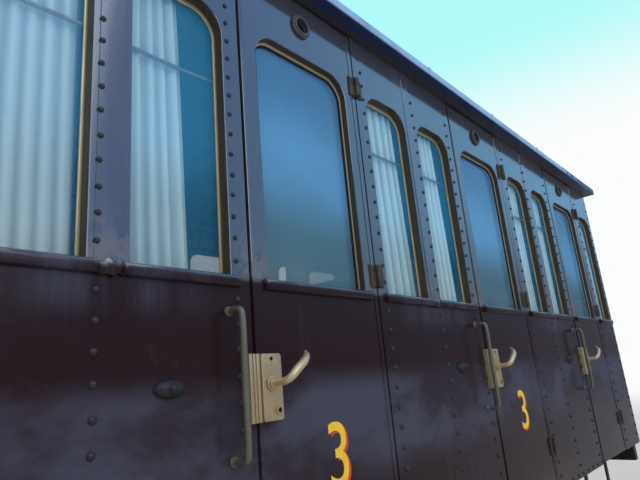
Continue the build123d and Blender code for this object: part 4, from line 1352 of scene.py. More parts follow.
class CoachCurtains(bpy.types.Operator):
    """Hangs gathered curtains on a rod behind every window between the doors"""

    bl_idname = "coach.curtains"
    bl_label = "Curtains"

    # From where to where a curtain reaches across its window: as in the photograph for some
    SHOWN = {17: (0, 0.96), 18: (0, 0.60), 19: (0, 0.92), 20: (0, 0.84)}
    OTHERS = ((0, 1), (0, 0.7), (0.25, 1), (0, 0.85))

    def execute(self, context):
        sizes = context.scene.coach_sizes
        low, high = sizes.window_bottom + 0.002, sizes.window_top - 0.004
        half = sizes.window_width / 2 - 0.004
        xs = sorted(window_xs(sizes))
        for side, turn in SIDES:
            dice = random.Random(side)
            curtains, total = [], 0.0
            for number, x in enumerate(xs):
                share = self.SHOWN.get(number) or dice.choice(self.OTHERS)
                left, right = (x - half + part * 2 * half for part in share)
                piece, wide = curtain(
                    left, right, min(0.035, x + half - right), low, high, WALL_BACK + 0.0270,
                    max(3, round((right - left) / 0.052)), dice,
                )
                curtains.append(piece)
                total += wide
            cloths = smooth(wear(joined(curtains, f"curtains_{side}"), "cloth"), 180)
            if turn:
                cloths.data.transform(turn)
            put(cloths, "carbody", "curtain_cloth", ("curtains",))
        reach = half + 0.003
        rods = [
            level_bar("rail", (x - reach, x + reach), WALL_BACK + 0.010, CURTAIN_ROD_Z + 0.002,
                      0.004, 0.0072)
            for x in xs
        ]
        rods = smooth(wear(joined(rods, "curtain_rods"), "steel"), 60)
        put_both(rods, "curtain_rods", "lock_brass")
        return {"FINISHED"}


# Roof
class CoachRoof(bpy.types.Operator):
    """Models the seam strips of the roof, the gutter strips and the ventilators"""

    bl_idname = "coach.roof"
    bl_label = "Roof"

    def execute(self, context):
        low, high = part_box("roof_eaves")
        y, z = low.y, low.z
        main = slab("gutter", (-high.x, y - 0.004, z + 0.006), (8.93, y + 0.002, z + 0.046))
        fore = before(y - 0.003)
        parts = [ease(main, 0.003, 2, lambda edge: fore(edge) and along(edge, 0))]
        # Loose ends that have dropped a little
        for x_from, x_to, drop in ((8.955, 9.06, 0.004), (9.10, 9.17, 0.010), (9.25, 9.39, 0.014)):
            bit = slab(
                "bit", (x_from, y - 0.003, z + 0.006 + drop),
                (x_to, y + 0.002, z + 0.044 - drop * 0.5),
            )
            with Shaping(bit) as work:
                work.pick("VERT", lambda v: v.co.x > x_to - 1e-4 and v.co.z > z + 0.02)
                bpy.ops.transform.translate(value=(-0.02, 0, -drop))
            parts.append(ease(bit, 0.0015))
        clip = slab("clip", (-0.011, y - 0.0075, z + 0.002), (0.011, y - 0.001, z + 0.050))
        ease(clip, 0.002, 1, before(y - 0.006))
        parts.append(repeated(clip, "clips", spots(-9.7 + 0.82 * n for n in range(23))))
        gutter = smooth(wear(joined(parts, "gutter_strip"), "gutter"), 40)
        put_both(gutter, "gutter_strip", "brown_enamel")
        self.vents()
        self.seams()
        return {"FINISHED"}

    def vents(self):
        """Torpedo ventilators on necks, one for each solid."""
        low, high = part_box("roof_ventilators")
        radius = 0.075
        z = high.z - radius * math.cos(math.pi / 8)
        sides = (("-X", -1), ("+X", 1))
        body = disc("vent", (0, 0, z), radius * 0.98, 0.19, 28, "X")
        with Shaping(body) as work:
            for axis, side in sides:
                work.push(axis, ((0.012, -0.02), (0.025, 0.045)))
                bpy.ops.transform.resize(value=(1, 0.5, 0.5), center_override=(side * 0.12, 0, z))
        ease(body, 0.004, 2, sharp(0.6))
        cowls = []
        for axis, side in sides:
            cowl = disc("cowl", (side * 0.132, 0, z), radius * 0.72, 0.036, 28, "X")
            with Shaping(cowl) as work:
                work.pick("FACE", facing(axis))
                bpy.ops.transform.resize(value=(1, 0.3, 0.3), center_override=(side * 0.15, 0, z))
            cowls.append(cowl)
        neck = slab("neck", (-0.055, -0.055, low.z), (0.055, 0.055, z - 0.02))
        with Shaping(neck) as work:
            work.push("-Z", ((0, -0.012),))
            work.pick("FACE", facing("+Z"))
            bpy.ops.transform.resize(value=(0.75, 0.75, 1), center_override=(0, 0, z))
        ease(neck, 0.006, 2, lambda edge: along(edge, 2) or middle(edge).z > low.z + 0.02)
        vent = smooth(wear(joined([body, *cowls, neck], "vent"), "roof"), 40)
        vents = repeated(vent, "ventilators", spots(LINES[1:-1:2]))
        put(vents, "carbody", "roof_paint", ("roof_ventilators",))

    def seams(self):
        """Strips over the joints of the roof sheets, cut from a copy of the roof's own skin."""
        half, fold_z = 0.028, 3.445
        nodes = ("roof_crown", "roof_eaves")
        skin = joined([copied(frame["nodes"][node], f"{node}_skin") for node in nodes], "skin")
        with Shaping(skin) as work:
            work.whole()
            bpy.ops.mesh.remove_doubles(threshold=0.0001)
            for side in (-1, 1):
                work.slice((side * half, 0, 0), (side, 0, 0), clear_outer=True)
            work.pick("FACE", lambda f: f.normal.z < 0.25 or f.calc_center_median().z < fold_z)
            bpy.ops.mesh.delete(type="FACE")
        wrap = skin.modifiers.new("thickness", "SOLIDIFY")
        wrap.thickness, wrap.offset = 0.006, 1
        alone(skin)
        bpy.ops.object.modifier_apply(modifier=wrap.name)
        smooth(wear(skin, "roof"), 30)
        places = spots([*LINES[1:-1], LINES[0] + 0.03, LINES[-1] - 0.03])
        put(repeated(skin, "roof_seams", places), "carbody", "roof_paint")


# Running gear
class CoachWheels(bpy.types.Operator):
    """Models one wheelset with dished wheels, hubs and a stepped axle, and copies it"""

    bl_idname = "coach.wheels"
    bl_label = "Wheelsets"

    def execute(self, context):
        around, flange, rim_inside, shoulder = 56, 0.550, 0.51, 0.5
        # From the flange's edge to the hub: how far inset, how far pushed out
        outer = (
            (0.006, 0.006), (0.024, 0.012), (0, 0.105), (0.058, 0), (0.004, -0.034),
            (0.12, -0.006), (0.13, 0.012), (0.055, 0), (0.004, 0.030), (0.060, 0),
        )
        inner = ((0.085, 0), (0.006, -0.022), (0.28, 0.006), (0.02, 0.018))
        wheel = pushed(disc("wheel", (0, -0.690, 0), flange, 0.02, around), "-Y", outer, around)
        wear(ease(pushed(wheel, "+Y", inner, around), 0.004, 2, sharp(0.7)), "wheel")

        def tread(face):
            away = math.hypot(face.center.x, face.center.z)
            return away > rim_inside and abs(face.normal.y) < 0.9

        repaint(wheel, "tread", tread)
        axle = disc("axle", (0, 0, 0), 0.080, 1.37, 40)
        with Shaping(axle) as work:
            work.push("-Y", ((0.004, 0),))
            work.push("+Y", ((0.004, 0),))
            for y in (-shoulder, shoulder):
                work.slice((0, y, 0), (0, 1, 0))
            work.pick("EDGE", lambda edge: abs(abs(middle(edge).y) - shoulder) < 1e-4)
            bpy.ops.mesh.bevel(offset=0.04, segments=1, affect="EDGES")
            work.pick("VERT", lambda v: abs(v.co.y) < shoulder - 0.03)
            bpy.ops.transform.resize(value=(0.9, 1, 0.9), center_override=(0, 0, 0))
        journal = disc("journal", (0, -0.9475, 0), 0.060, 0.265, 32)
        ease(journal, 0.006, 2, before(-1.07))
        for part in (axle, journal):
            wear(part, "wheel")
        parts = [wheel, copied(wheel, "wheel", turn=HALF_TURN)]
        parts += [axle, journal, copied(journal, "journal", turn=HALF_TURN)]
        whole = smooth(joined(parts, "wheelset"), 40)
        for node in [name for name in frame["nodes"] if name.startswith("wheelset")]:
            low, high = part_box(node)
            twin = copied(whole, f"{node}_turned", ((low.x + high.x) / 2, 0, (low.z + high.z) / 2))
            put(twin, node, "wheel_steel", (node,))
        discard(whole)
        return {"FINISHED"}


class CoachBogies(bpy.types.Operator):
    """Models axle boxes with covers, leaf springs leaf by leaf, and the bolts of the frames"""

    bl_idname = "coach.bogies"
    bl_label = "Bogies"

    def execute(self, context):
        low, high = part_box("bogie_suspension_right")
        wheel_low, wheel_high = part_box("wheelset_right_inner")
        bogie_x = (low.x + high.x) / 2
        reach = bogie_x - (wheel_low.x + wheel_high.x) / 2
        corner = self.corner(-high.y)
        plank = ease(slab("plank", (-0.3295, -0.883, 0.560), (0.3295, 0.883, 0.600)), 0.006, 2)
        coils = [self.coil(x, y, 0.602, 0.758) for y in (-0.79, 0.79) for x in (-0.055, 0.055)]
        bolster = smooth(wear(joined([plank, *coils], "bolster_springs"), "spring"), 50)
        heads = self.bolts(reach)
        corners = [
            copied(corner, "corner", (x, 0, 0), turn)
            for x in (-reach, reach)
            for turn in (None, HALF_TURN)
        ]
        springs = joined([*corners, bolster], "springs")
        for side, x in (("left", -bogie_x), ("right", bogie_x)):
            for model, name, nodes in (
                (springs, f"springs_{side}", (f"bogie_suspension_{side}",)),
                (heads, f"frame_bolts_{side}", ()),
            ):
                put(copied(model, name, (x, 0, 0)), f"bogie_{side}", "frame_black", nodes)
        discard(corner, springs, heads)
        return {"FINISHED"}

    def corner(self, out):
        """One axle box with its cover, spring and hangers, the axle at x = 0."""
        box_top, axle_z, bolt_away = 0.690, 0.560, 0.092
        body = slab("box", (-0.130, out + 0.012, 0.430), (0.130, -0.890, box_top))
        ease(pushed(body, "-Y", ((0.022, 0.008),)), 0.007, 2, sharp(0.7))
        cover = disc("cover", (0, out + 0.003, axle_z), 0.085, 0.010, 32)
        ease(pushed(cover, "-Y", ((0.02, 0),)), 0.003, 2, sharp(0.7))
        bolt = disc("bolt", (0, out + 0.005, 0), 0.013, 0.012, 6)
        levels = (axle_z - bolt_away, axle_z + bolt_away)
        bolts = repeated(bolt, "bolts", spots((-bolt_away, bolt_away), levels))
        band = slab("band", (-0.045, -1.068, box_top), (0.045, -0.980, box_top + 0.112))
        parts = [body, cover, bolts, ease(band, 0.006, 2)]
        bend = 1.900
        centre_z = box_top + 0.0003 + 0.096 + bend
        for step, half in enumerate((0.478, 0.440, 0.392, 0.334, 0.262, 0.185)):
            parts.append(self.leaf(half, bend + 0.016 * step, centre_z, -1.0605, -0.9862))
        for x in (-0.462, 0.462):
            hanger = slab("hanger", (x - 0.016, -1.072, 0.800), (x + 0.016, -0.984, 0.882))
            parts.append(ease(hanger, 0.006, 2))
        return smooth(wear(joined(parts, "corner"), "spring"), 40)

    def leaf(self, half, radius, centre_z, y_from, y_to):
        """One spring leaf, spun about the middle of its bend."""
        turn = half / radius
        clear()
        bpy.ops.mesh.primitive_plane_add(size=1)
        piece = settle("leaf")
        with Shaping(piece) as work:
            work.whole()
            bpy.ops.transform.resize(value=(0.0155, y_to - y_from, 1))
            bpy.ops.transform.translate(value=(radius + 0.008, (y_from + y_to) / 2, 0))
            bpy.ops.mesh.spin(
                steps=14, angle=2 * turn, center=(0, 0, 0), axis=(0, 1, 0), use_auto_merge=False
            )
            work.whole()
            bpy.ops.mesh.normals_make_consistent(inside=False)
        direction = math.copysign(1, sum(vertex.co.z for vertex in piece.data.vertices))
        start = math.pi / 2 + turn * direction
        piece.data.transform(
            Matrix.Translation((0, 0, centre_z)) @ Matrix.Rotation(start, 4, "Y")
        )
        return piece

    def coil(self, x, y, low, high):
        """A coil spring of round wire, from a curve."""
        turns, radius, wire = 4.5, 0.042, 0.009
        count = int(turns * 8)
        points = [
            (
                x + radius * math.cos(n * math.pi / 4),
                y + radius * math.sin(n * math.pi / 4),
                low + wire + (high - low - 2 * wire) * n / count,
            )
            for n in range(count + 1)
        ]
        return rod("coil", points, wire, 1)

    def bolts(self, reach):
        """The bolt heads along both frames of a bogie, clear of the axle boxes."""
        places = []
        pitch, clear_of_box, upper, lower = 0.115, 0.16, 0.735, 0.60
        for x in (n * pitch for n in range(-14, 15)):
            if abs(abs(x) - reach) > clear_of_box:
                places.append((x, 0, upper if abs(x) < 1.1 else 0.70))
                if abs(x) < 0.9:
                    places.append((x, 0, lower))
        head = rivet_head(0.013, -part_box("bogie_frame_right")[1].y)
        heads = wear(repeated(head, "heads", places), "frame")
        return joined([heads, copied(heads, "heads", turn=HALF_TURN)], "frame_bolts")


class CoachBuffers(bpy.types.Operator):
    """Models a buffer with bolted base, stepped case and domed head, and the screw couplings"""

    bl_idname = "coach.buffers"
    bl_label = "Buffers and couplings"

    def execute(self, context):
        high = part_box("buffers")[1]
        tip, radius = high.x, 0.225
        y, z = high.y - radius, high.z - radius
        base = slab("base", (END, y - 0.15, z - 0.15), (END + 0.024, y + 0.15, z + 0.15))
        ease(base, 0.006, 2, lambda edge: middle(edge).x > END + 0.02 or along(edge, 0))
        case = disc("case", (END + 0.034, y, z), 0.112, 0.022, 40, "X")
        sleeves = (
            (0.012, 0), (0.002, 0.175), (0.006, 0), (0.002, 0.155), (0.018, 0.004), (0.022, 0.002),
        )
        ease(pushed(case, "+X", sleeves, 40), 0.004, 2, sharp(0.7))
        shaft = disc("shaft", (END + 0.49, y, z), 0.054, 0.26, 32, "X")
        pushed(shaft, "+X", ((0.005, 0),))
        head = disc("head", (tip - 0.019, y, z), radius, 0.018, 56, "X")
        dome = ((0.030, 0.003), (0.045, 0.003), (0.060, 0.003), (0.05, 0.001))
        with Shaping(head) as work:
            work.push("+X", dome, 56, slide=True)
            work.push("-X", ((0.13, 0.03),), 56)
            bpy.ops.transform.resize(value=(1, 0.62, 0.62), center_override=(tip, y, z))
        ease(head, 0.005, 2, sharp(0.9))
        bolt = disc("bolt", (END + 0.030, y, z), 0.017, 0.022, 6, "X")
        away = (-0.115, 0.115)
        bolts = repeated(bolt, "bolts", [(0, across, up) for across in away for up in away])
        for part, finish in (
            (base, "frame"), (case, "frame"), (bolts, "hinge"), (shaft, "steel"), (head, "head"),
        ):
            wear(part, finish)
        one = smooth(joined([base, case, shaft, head, bolts], "buffer"), 40)
        pair = joined([one, copied(one, "buffer", (0, -2 * y, 0))], "buffers")
        put_both(pair, "buffers", "buffer_steel", ("buffers",), ("right", "left"))
        self.coupling(z)
        return {"FINISHED"}

    def coupling(self, z):
        """The hook, its plate and the screw coupling that hangs on it."""
        x = END + 0.222
        screw_z, thread = z - 0.285, 0.011
        knots = (
            (0, 0), (0.10, 0), (0.20, -0.004), (0.268, -0.004), (0.298, 0.030), (0.290, 0.075),
            (0.274, 0.096),
        )
        radii = (0.034, 0.034, 0.034, 0.033, 0.029, 0.022, 0.011)
        hook = rod("hook", [(END + out, 0, z + up) for out, up in knots], radii, 5)
        plate = slab("plate", (END, -0.13, z - 0.11), (END + 0.016, 0.13, z + 0.11))
        ease(plate, 0.005, 2)

        def bow(name, side, turn):
            """A bow of round bar: one side's knots, its middle and the other side."""
            knots = (*side, (0, turn), *((-y, up) for y, up in reversed(side)))
            return rod(name, [(x, y, z + up) for y, up in knots], 0.0155)

        def bar(name, ys, radii, steps):
            return rod(name, [(x, y, screw_z) for y in ys], radii, steps)

        shackle = bow("shackle", ((0.048, -0.17), (0.046, -0.02), (0.032, 0.038)), 0.052)
        parts = [hook, plate, shackle]
        for level in (z - 0.175, z - 0.395):
            nut = slab("nut", (x - 0.028, -0.066, level - 0.022), (x + 0.028, 0.066, level + 0.022))
            parts.append(ease(nut, 0.008, 2))

        def hollow(vertex):
            """Whether a point of the screw lies between two turns of its thread."""
            up = vertex.co.z - z + 0.285
            return round(up / thread) % 2 == 0 and abs(up) < 0.105

        screw = disc("screw", (x, 0, screw_z), 0.019, 0.24, 20, "Z")
        with Shaping(screw) as work:
            for level in range(-9, 10):
                work.slice((0, 0, screw_z + level * thread), (0, 0, 1))
            work.pick("VERT", hollow)
            bpy.ops.transform.resize(value=(0.84, 0.84, 1), center_override=(x, 0, z))
        parts += [
            screw, bar("handle", (0.010, 0.06, 0.15), 0.009, 2),
            bar("ball", (0.145, 0.160, 0.175), (0.010, 0.019, 0.010), 4),
            bow("bow", ((0.052, -0.395), (0.050, -0.54), (0.033, -0.60)), -0.618),
        ]
        gear = smooth(wear(joined(parts, "coupling"), "hook"), 50)
        put_both(gear, "coupling", "hook_steel", ("draw_hooks",), ("right", "left"))


class CoachSteps(bpy.types.Operator):
    """Models the footboards as planks with a steel nosing, and their bolted straps"""

    bl_idname = "coach.steps"
    bl_label = "Steps"

    def execute(self, context):
        out, inner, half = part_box("footboards")[0].y, -1.2576, 0.32
        gap = 0.006
        wide = (inner - out - gap) / 2
        parts = []
        for y in (out + 0.002, out + wide + gap):
            board = slab("board", (-half, y, -0.028), (half, y + wide - 0.002, 0))
            parts.append(wear(ease(board, 0.004), "step"))
        nosing = slab("nosing", (-half, out, -0.030), (half, out + 0.004, 0.0015))
        parts.append(wear(ease(nosing, 0.001), "hook"))
        bolt = disc("bolt", (0, 0, 0.0015), 0.009, 0.005, 8, "Z")
        places = [(x, y, 0) for x in (-STRAP_X, STRAP_X) for y in (out + 0.06, inner - 0.06)]
        parts.append(wear(repeated(bolt, "bolts", places), "hinge"))
        step = smooth(joined(parts, "step"), 40)
        steps = repeated(step, "steps", spots(CENTRES, STEP_LEVELS))
        put_both(steps, "footboards", "step_wood", ("footboards",))
        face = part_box("step_straps")[0].y
        straps = [x + shift for x in CENTRES for shift in (-STRAP_X, STRAP_X)]
        bracket = slab("bracket", (-0.025, face, -0.080), (0.025, face + 0.010, -0.028))
        with Shaping(bracket) as work:
            work.push("-Y", ((0.003, 0),))
            work.push("+Z", ((0, -0.001),))
            work.pick("VERT", lambda v: v.co.z > -0.035 and v.co.y < face + 0.004)
            bpy.ops.transform.translate(value=(0, -0.17, 0))
        brackets = repeated(bracket, "brackets", spots(straps, STEP_LEVELS))
        heads = repeated(rivet_head(0.011, face), "heads", spots(straps, (1.08, 1.03)))
        trim = wear(smooth(joined([heads, brackets], "step_brackets"), 40), "frame")
        put_both(trim, "step_brackets", "frame_black")
        return {"FINISHED"}


class CoachInside(bpy.types.Operator):
    """Models the slatted benches and the rod racks of the saloon"""

    bl_idname = "coach.inside"
    bl_label = "Benches and racks"

    def execute(self, context):
        wall_gap = 0.030 + 0.044 + 0.0003  # half a back, the end wall and some air
        rows = every_bay(
            "row", self.benches((-1, 1), 0.0), self.benches((1,), wall_gap),
            self.benches((-1,), -wall_gap),
        )
        for row in rows:
            with Shaping(row) as work:
                work.whole()
                bpy.ops.mesh.normals_make_consistent(inside=False)
        benches = smooth(joined(rows, "slatted"), 40)
        put_both(benches, "slatted_benches", "bench_wood", ("benches",))
        reach, end = BAY / 2 - 0.352, 0.045
        racks = every_bay(
            "rack", self.rack(-reach, reach), self.rack(end, reach), self.rack(-reach, -end)
        )
        racks = smooth(joined(racks, "rods"), 50)
        put_both(racks, "rod_racks", "rack_metal", ("luggage_racks",))
        return {"FINISHED"}

    def benches(self, sides, shift):
        """A slatted back with seats to the left (-1) or right (1) of it, shifted along X."""
        floor, y_from, y_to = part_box("floor")[1].z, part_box("benches")[0].y, -0.40
        post, foot, seat, top = 0.045, floor + 0.0005, floor + 0.412, floor + 1.03
        parts = []

        def board(name, xs, ys, zs, width, steps=1, test=sharp(0.5)):
            piece = slab(name, (shift + xs[0], ys[0], zs[0]), (shift + xs[1], ys[1], zs[1]))
            parts.append(ease(piece, width, steps, test))

        def lengthwise(edge):
            return along(edge, 1)

        board("back", (-0.012, 0.012), (y_from, y_to), (floor + 0.30, top), 0.003)
        for y in (y_from + 0.02, y_to - post):
            board("post", (-0.029, 0.029), (y, y + post), (foot, top), 0.005, 2)
        board(
            "rail", (-0.030, 0.030), (y_from, y_to), (top, floor + 1.08), 0.018, 3,
            lambda edge: along(edge, 1) and middle(edge).z > floor + 1.05,
        )
        for side in sides:
            for n in range(6):
                xs, z = (side * 0.012, side * 0.026), floor + 0.50 + n * 0.088
                ys = (y_from + 0.01, y_to - 0.01)
                board("slat", xs, ys, (z, z + 0.070), 0.004, 1, lengthwise)
            for n in range(6):
                x = side * (0.064 + n * 0.066)
                xs, ys = (x - 0.028, x + 0.028), (y_from + 0.005, y_to - 0.005)
                board("slat", xs, ys, (seat, floor + 0.430), 0.004, 1, lengthwise)
            for y in (y_from + 0.03, y_to - 0.07):
                ys, bottom, far = (y, y + 0.04), floor + 0.372, side * 0.415
                board("bearer", (side * 0.030, far), ys, (bottom, seat), 0.004)
                board("leg", (side * 0.375, far), ys, (foot, bottom), 0.004)
        return wear(joined(parts, "row"), "bench")

    def rack(self, x_from, x_to):
        """A rack of rods on two arms."""
        z, count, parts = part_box("luggage_racks")[0].z, 6, []
        for n in range(count):
            radius = 0.009 if n == count - 1 else 0.005
            y = WALL_BACK + 0.020 + n * 0.053
            parts.append(level_bar("bar", (x_from, x_to), y, z + 0.012, 0.001, radius))
        for x in (x_from + 0.05, x_to - 0.05):
            arm = slab(
                "arm", (x - 0.006, WALL_BACK + 0.0005, z + 0.0005),
                (x + 0.006, WALL_BACK + 0.296, z + 0.008),
            )
            with Shaping(arm) as work:
                work.pick("VERT", lambda v: v.co.y < WALL_BACK + 0.01 and v.co.z > z + 0.004)
                bpy.ops.transform.translate(value=(0, 0, 0.017))
            parts.append(ease(arm, 0.002))
        return wear(joined(parts, "rack"), "rack")


class CoachEnds(bpy.types.Operator):
    """Models the strips, rivets, rails and brackets of the end walls"""

    bl_idname = "coach.ends"
    bl_label = "Ends"

    def execute(self, context):
        front, wide, pitch = END + 0.004, 0.04, 0.075
        parts = []

        def cover(y_from, y_to, z_from, z_to):
            piece = slab("strip", (END - 0.001, y_from, z_from), (front, y_to, z_to))
            ease(piece, 0.0015, 1, lambda edge: middle(edge).x > END + 0.003)
            parts.append(wear(piece, "enamel"))

        def rail(name, y, outs, levels, radius):
            knots = tuple(zip((0.002, *outs), (0, 0, 0.02, 0.06)))
            piece = grip(name, lambda out, z: (END + out, y, z), knots, *levels, radius)
            parts.append(wear(piece, "pale"))

        for y in (-1.365, -0.86, 0.82, 1.325):
            cover(y, y + wide, 1.21, 3.40)
        for y in (-0.402, 0.362):
            cover(y, y + wide, 1.33, 3.235)
        cover(-0.362, 0.362, 3.195, 3.235)
        for y_from, y_to in ((-1.325, -0.86), (-0.82, -0.402), (0.402, 0.82), (0.86, 1.325)):
            cover(y_from, y_to, 2.10, 2.14)
        head = rivet_head(0.0078)
        head.data.transform(
            Matrix.Translation((front, 0, 0)) @ Matrix.Rotation(math.pi / 2, 4, "Z")
        )
        places = []
        for ys, low, count in (
            ((-1.345, -0.84, 0.84, 1.345), 1.24, 29), ((-0.382, 0.382), 1.36, 25),
        ):
            places += [(0, y, low + n * pitch) for y in ys for n in range(count)]
        parts.append(wear(repeated(head, "heads", places), "rivet"))
        for y in (-0.60, 0.60):
            rail("grab", y, (0.05, 0.065, 0.068), (1.50, 2.70, 2.30), 0.014)
        for y in (-1.34, 1.34):
            rail("corner", y, (0.045, 0.06, 0.062), (1.22, 1.62, 1.42), 0.013)
            low, high = (END, y * 0.9 - 0.03, 2.30), (END + 0.012, y * 0.9 + 0.03, 2.42)
            bracket = pushed(slab("bracket", low, high), "+X", ((0.008, 0.02),))
            parts.append(wear(ease(bracket, 0.002), "frame"))
        trim = smooth(joined(parts, "end_trim"), 40)
        put_both(trim, "end_trim", "brown_enamel", (), ("right", "left"))
        return {"FINISHED"}


class CoachGear(bpy.types.Operator):
    """Models the straps of the tanks, the doors of the crates and the bolts of the frame"""

    bl_idname = "coach.gear"
    bl_label = "Gear under the floor"

    def execute(self, context):
        crate_y, crate_half, clear_of_strap, pitch = -0.90, 0.21, 0.05, 0.123
        parts = self.tank(TANK_X, y=-0.62, z=0.810, radius=0.19)
        for x in (-0.60, 0.0, 0.60):
            parts += self.crate_door(-TANK_X + x, crate_y - crate_half)
        places = []
        for x in (n * pitch for n in range(-79, 80)):
            if min(abs(abs(x - centre) - STRAP_X) for centre in CENTRES) > clear_of_strap:
                places += spots((x,), (1.17, 1.03))
        head = rivet_head(0.010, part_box("solebars")[0].y)
        parts.append(repeated(head, "heads", places))
        trim = wear(smooth(joined(parts, "gear_trim"), 40), "frame")
        put_both(trim, "gear_trim", "frame_black")
        return {"FINISHED"}

    def tank(self, x, y, z, radius):
        """The bands round a tank and its domed ends."""
        parts = []
        for shift in (-0.72, -0.25, 0.25, 0.72):
            band = disc("band", (x + shift, y, z), radius + 0.005, 0.05, 40, "X")
            with Shaping(band) as work:
                work.pick("FACE", lambda face: abs(face.normal.x) > 0.9)
                bpy.ops.mesh.inset(thickness=0.004, use_individual=True)
            parts.append(band)
        dome = ((0.03, 0.012), (0.05, 0.010), (0.05, 0.004))
        for axis, shift in (("-X", -0.912), ("+X", 0.912)):
            end = disc("dome", (x + shift, y, z), radius * 0.94, 0.008, 40, "X")
            parts.append(pushed(end, axis, dome, 40, slide=True))
        return parts

    def crate_door(self, x, y):
        """A hatch with its two straps and a knob."""
        hatch = slab("hatch", (x - 0.27, y - 0.012, 0.56), (x + 0.27, y + 0.001, 0.965))
        parts = [ease(pushed(hatch, "-Y", ((0.030, -0.006),)), 0.002)]
        for shift in (-0.18, 0.18):
            low, high = (x + shift - 0.02, y - 0.020, 0.90), (x + shift + 0.02, y - 0.006, 0.975)
            parts.append(ease(slab("strap", low, high), 0.003))
        knob = disc("knob", (x, y - 0.020, 0.60), 0.018, 0.024, 14)
        parts.append(ease(knob, 0.004, 2, before(y - 0.03)))
        return parts


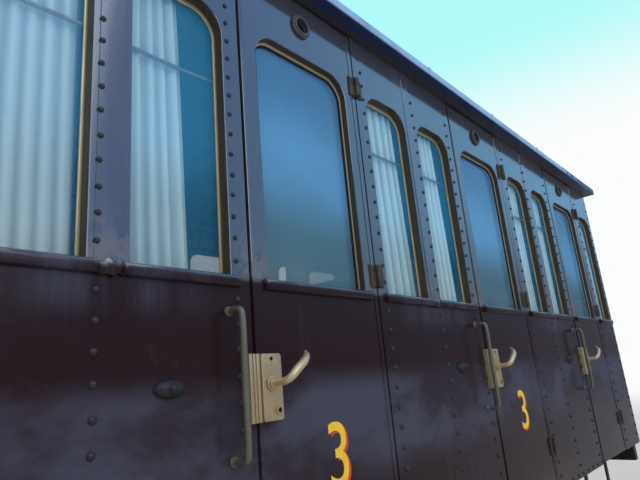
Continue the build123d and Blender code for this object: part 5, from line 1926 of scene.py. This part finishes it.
class CoachStageSet(bpy.types.Operator):
    """Sets the camera at the photograph's angle, with soft light and a plain pale floor"""

    bl_idname = "coach.stage"
    bl_label = "Stage"

    # Soft lamps: place, what they are aimed at, width
    LAMPS = {
        "lamp_near": ((5.0, -12.0, 9.0), (3.0, 0, 2.0), 9.0),
        "lamp_far": ((-5.0, 12.0, 9.0), (-3.0, 0, 2.0), 9.0),
        "lamp_top": ((0.0, 0.0, 15.0), (0, 0, 2.0), 12.0),
    }

    def execute(self, context):
        scene, stage = context.scene, context.scene.coach_stage
        right, up = Vector(stage.right), Vector(stage.up)
        camera = bpy.data.cameras.new("camera")
        camera.lens, camera.sensor_width = stage.lens, 36
        camera.clip_start, camera.clip_end = 0.05, 300
        view = bpy.data.objects.new("camera", camera)
        scene.collection.objects.link(view)
        turn = Matrix((right, up, right.cross(up))).transposed().to_4x4()
        view.matrix_world = Matrix.Translation(stage.place) @ turn
        scene.camera = view
        clear()
        floor_size = 160
        bpy.ops.mesh.primitive_plane_add(size=floor_size)
        finishes["stage_floor"] = self.floor_finish(stage)
        wear(settle("stage_floor"), "stage_floor")
        for name, (place, aim, wide) in self.LAMPS.items():
            bpy.ops.object.light_add(type="AREA", location=place)
            lamp = context.object
            lamp.name = name
            lamp.data.energy, lamp.data.size = stage.lamp, wide
            lamp.rotation_euler = (Vector(aim) - Vector(place)).to_track_quat("-Z", "Y").to_euler()
        self.sky(scene, stage)
        scene.view_settings.view_transform = "Standard"
        return {"FINISHED"}

    def sky(self, scene, stage):
        """A backdrop for the camera, a deeper one for gloss and glass, and even daylight."""
        world = scene.world or bpy.data.worlds.new("stage_sky")
        scene.world = world
        world.use_nodes = True
        f = Finish("stage_sky", world.node_tree)
        where = f.node("ShaderNodeTexCoord", output="Generated")
        height = f.node("ShaderNodeSeparateXYZ", {}, {0: where}, output="Z")
        endwards = f.node("ShaderNodeSeparateXYZ", {}, {0: where}, output="X").size()
        shown = f.blend(height.over(0.36, 0.56), stage.horizon, stage.sky)
        above = f.blend(endwards.over(0.45, 0.8), stage.mirrored, stage.mirrored_end)
        mirrored = f.blend(height.over(0.04, 0.32), stage.mirrored_low, above)
        backdrop = f.blend(f.ray("Is Camera Ray"), mirrored, shown)
        daylight = tones((1, 1, 1), stage.daylight)
        background = f.first("BACKGROUND")
        f.feed(background.inputs["Color"], f.blend(self.seen(f), daylight, backdrop))
        background.inputs["Strength"].default_value = 1

    def seen(self, f):
        """Whether a ray comes from the camera, from gloss or through glass."""
        gloss = f.ray("Is Camera Ray").either(f.ray("Is Glossy Ray"))
        return gloss.either(f.ray("Is Transmission Ray"))

    def floor_finish(self, stage):
        """A pale floor that goes over into the backdrop far from the coach."""
        f = Finish("stage_floor")
        where = f.node("ShaderNodeTexCoord", output="Object")
        far = f.node("ShaderNodeVectorMath", {"operation": "LENGTH"}, {0: where}, output="Value")
        shade = f.blend(f.noise(3, 3, 0.5) * 0.12, stage.floor, tones(stage.floor, 0.8))
        material = f.done(Base_Color=shade, Roughness=0.9, Specular_IOR_Level=0.2)
        light = f.blend(f.ray("Is Camera Ray"), stage.mirrored_low, stage.horizon)
        glow = f.node("ShaderNodeEmission", {}, {"Color": light, "Strength": 1.0})
        shown = (far.over(14.0, 42.0) * self.seen(f)).either(f.ray("Is Glossy Ray") * 0.6)
        surface = {0: shown, 1: Shade(f, f.shader.outputs[0]), 2: glow}
        mixed = f.node("ShaderNodeMixShader", {}, surface)
        f.feed(f.first("OUTPUT_MATERIAL").inputs["Surface"], mixed)
        return material


STEPS = (
    CoachFinishes, CoachSides, CoachRivets, CoachDoorStops, CoachDoors, CoachRails,
    CoachCurtains, CoachRoof, CoachWheels, CoachBogies, CoachBuffers, CoachSteps, CoachInside,
    CoachEnds, CoachGear, CoachStageSet,
)


class COACH_PT_sidebar(bpy.types.Panel):
    """Lists the steps and sizes of the coach"""

    bl_label = "Coach"
    bl_space_type = "VIEW_3D"
    bl_region_type = "UI"
    bl_category = "Coach"

    def draw(self, context):
        for step in STEPS:
            self.layout.operator(step.bl_idname)
        for name in GROUPS:
            column = self.layout.column(heading=name)
            group = getattr(context.scene, name)
            for key in GROUPS[name].__annotations__:
                column.prop(group, key)


def register():
    for group in GROUPS.values():
        bpy.utils.register_class(group)
    for name, group in GROUPS.items():
        setattr(bpy.types.Scene, name, PointerProperty(type=group))
    for step in (*STEPS, COACH_PT_sidebar):
        bpy.utils.register_class(step)


def unregister():
    for step in (COACH_PT_sidebar, *reversed(STEPS)):
        bpy.utils.unregister_class(step)
    for name in GROUPS:
        delattr(bpy.types.Scene, name)
    for group in GROUPS.values():
        bpy.utils.unregister_class(group)


def main():
    register()
    for step in STEPS:
        group, name = step.bl_idname.split(".")
        getattr(getattr(bpy.ops, group), name)()
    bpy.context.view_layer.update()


if __name__ == "__main__":
    main()
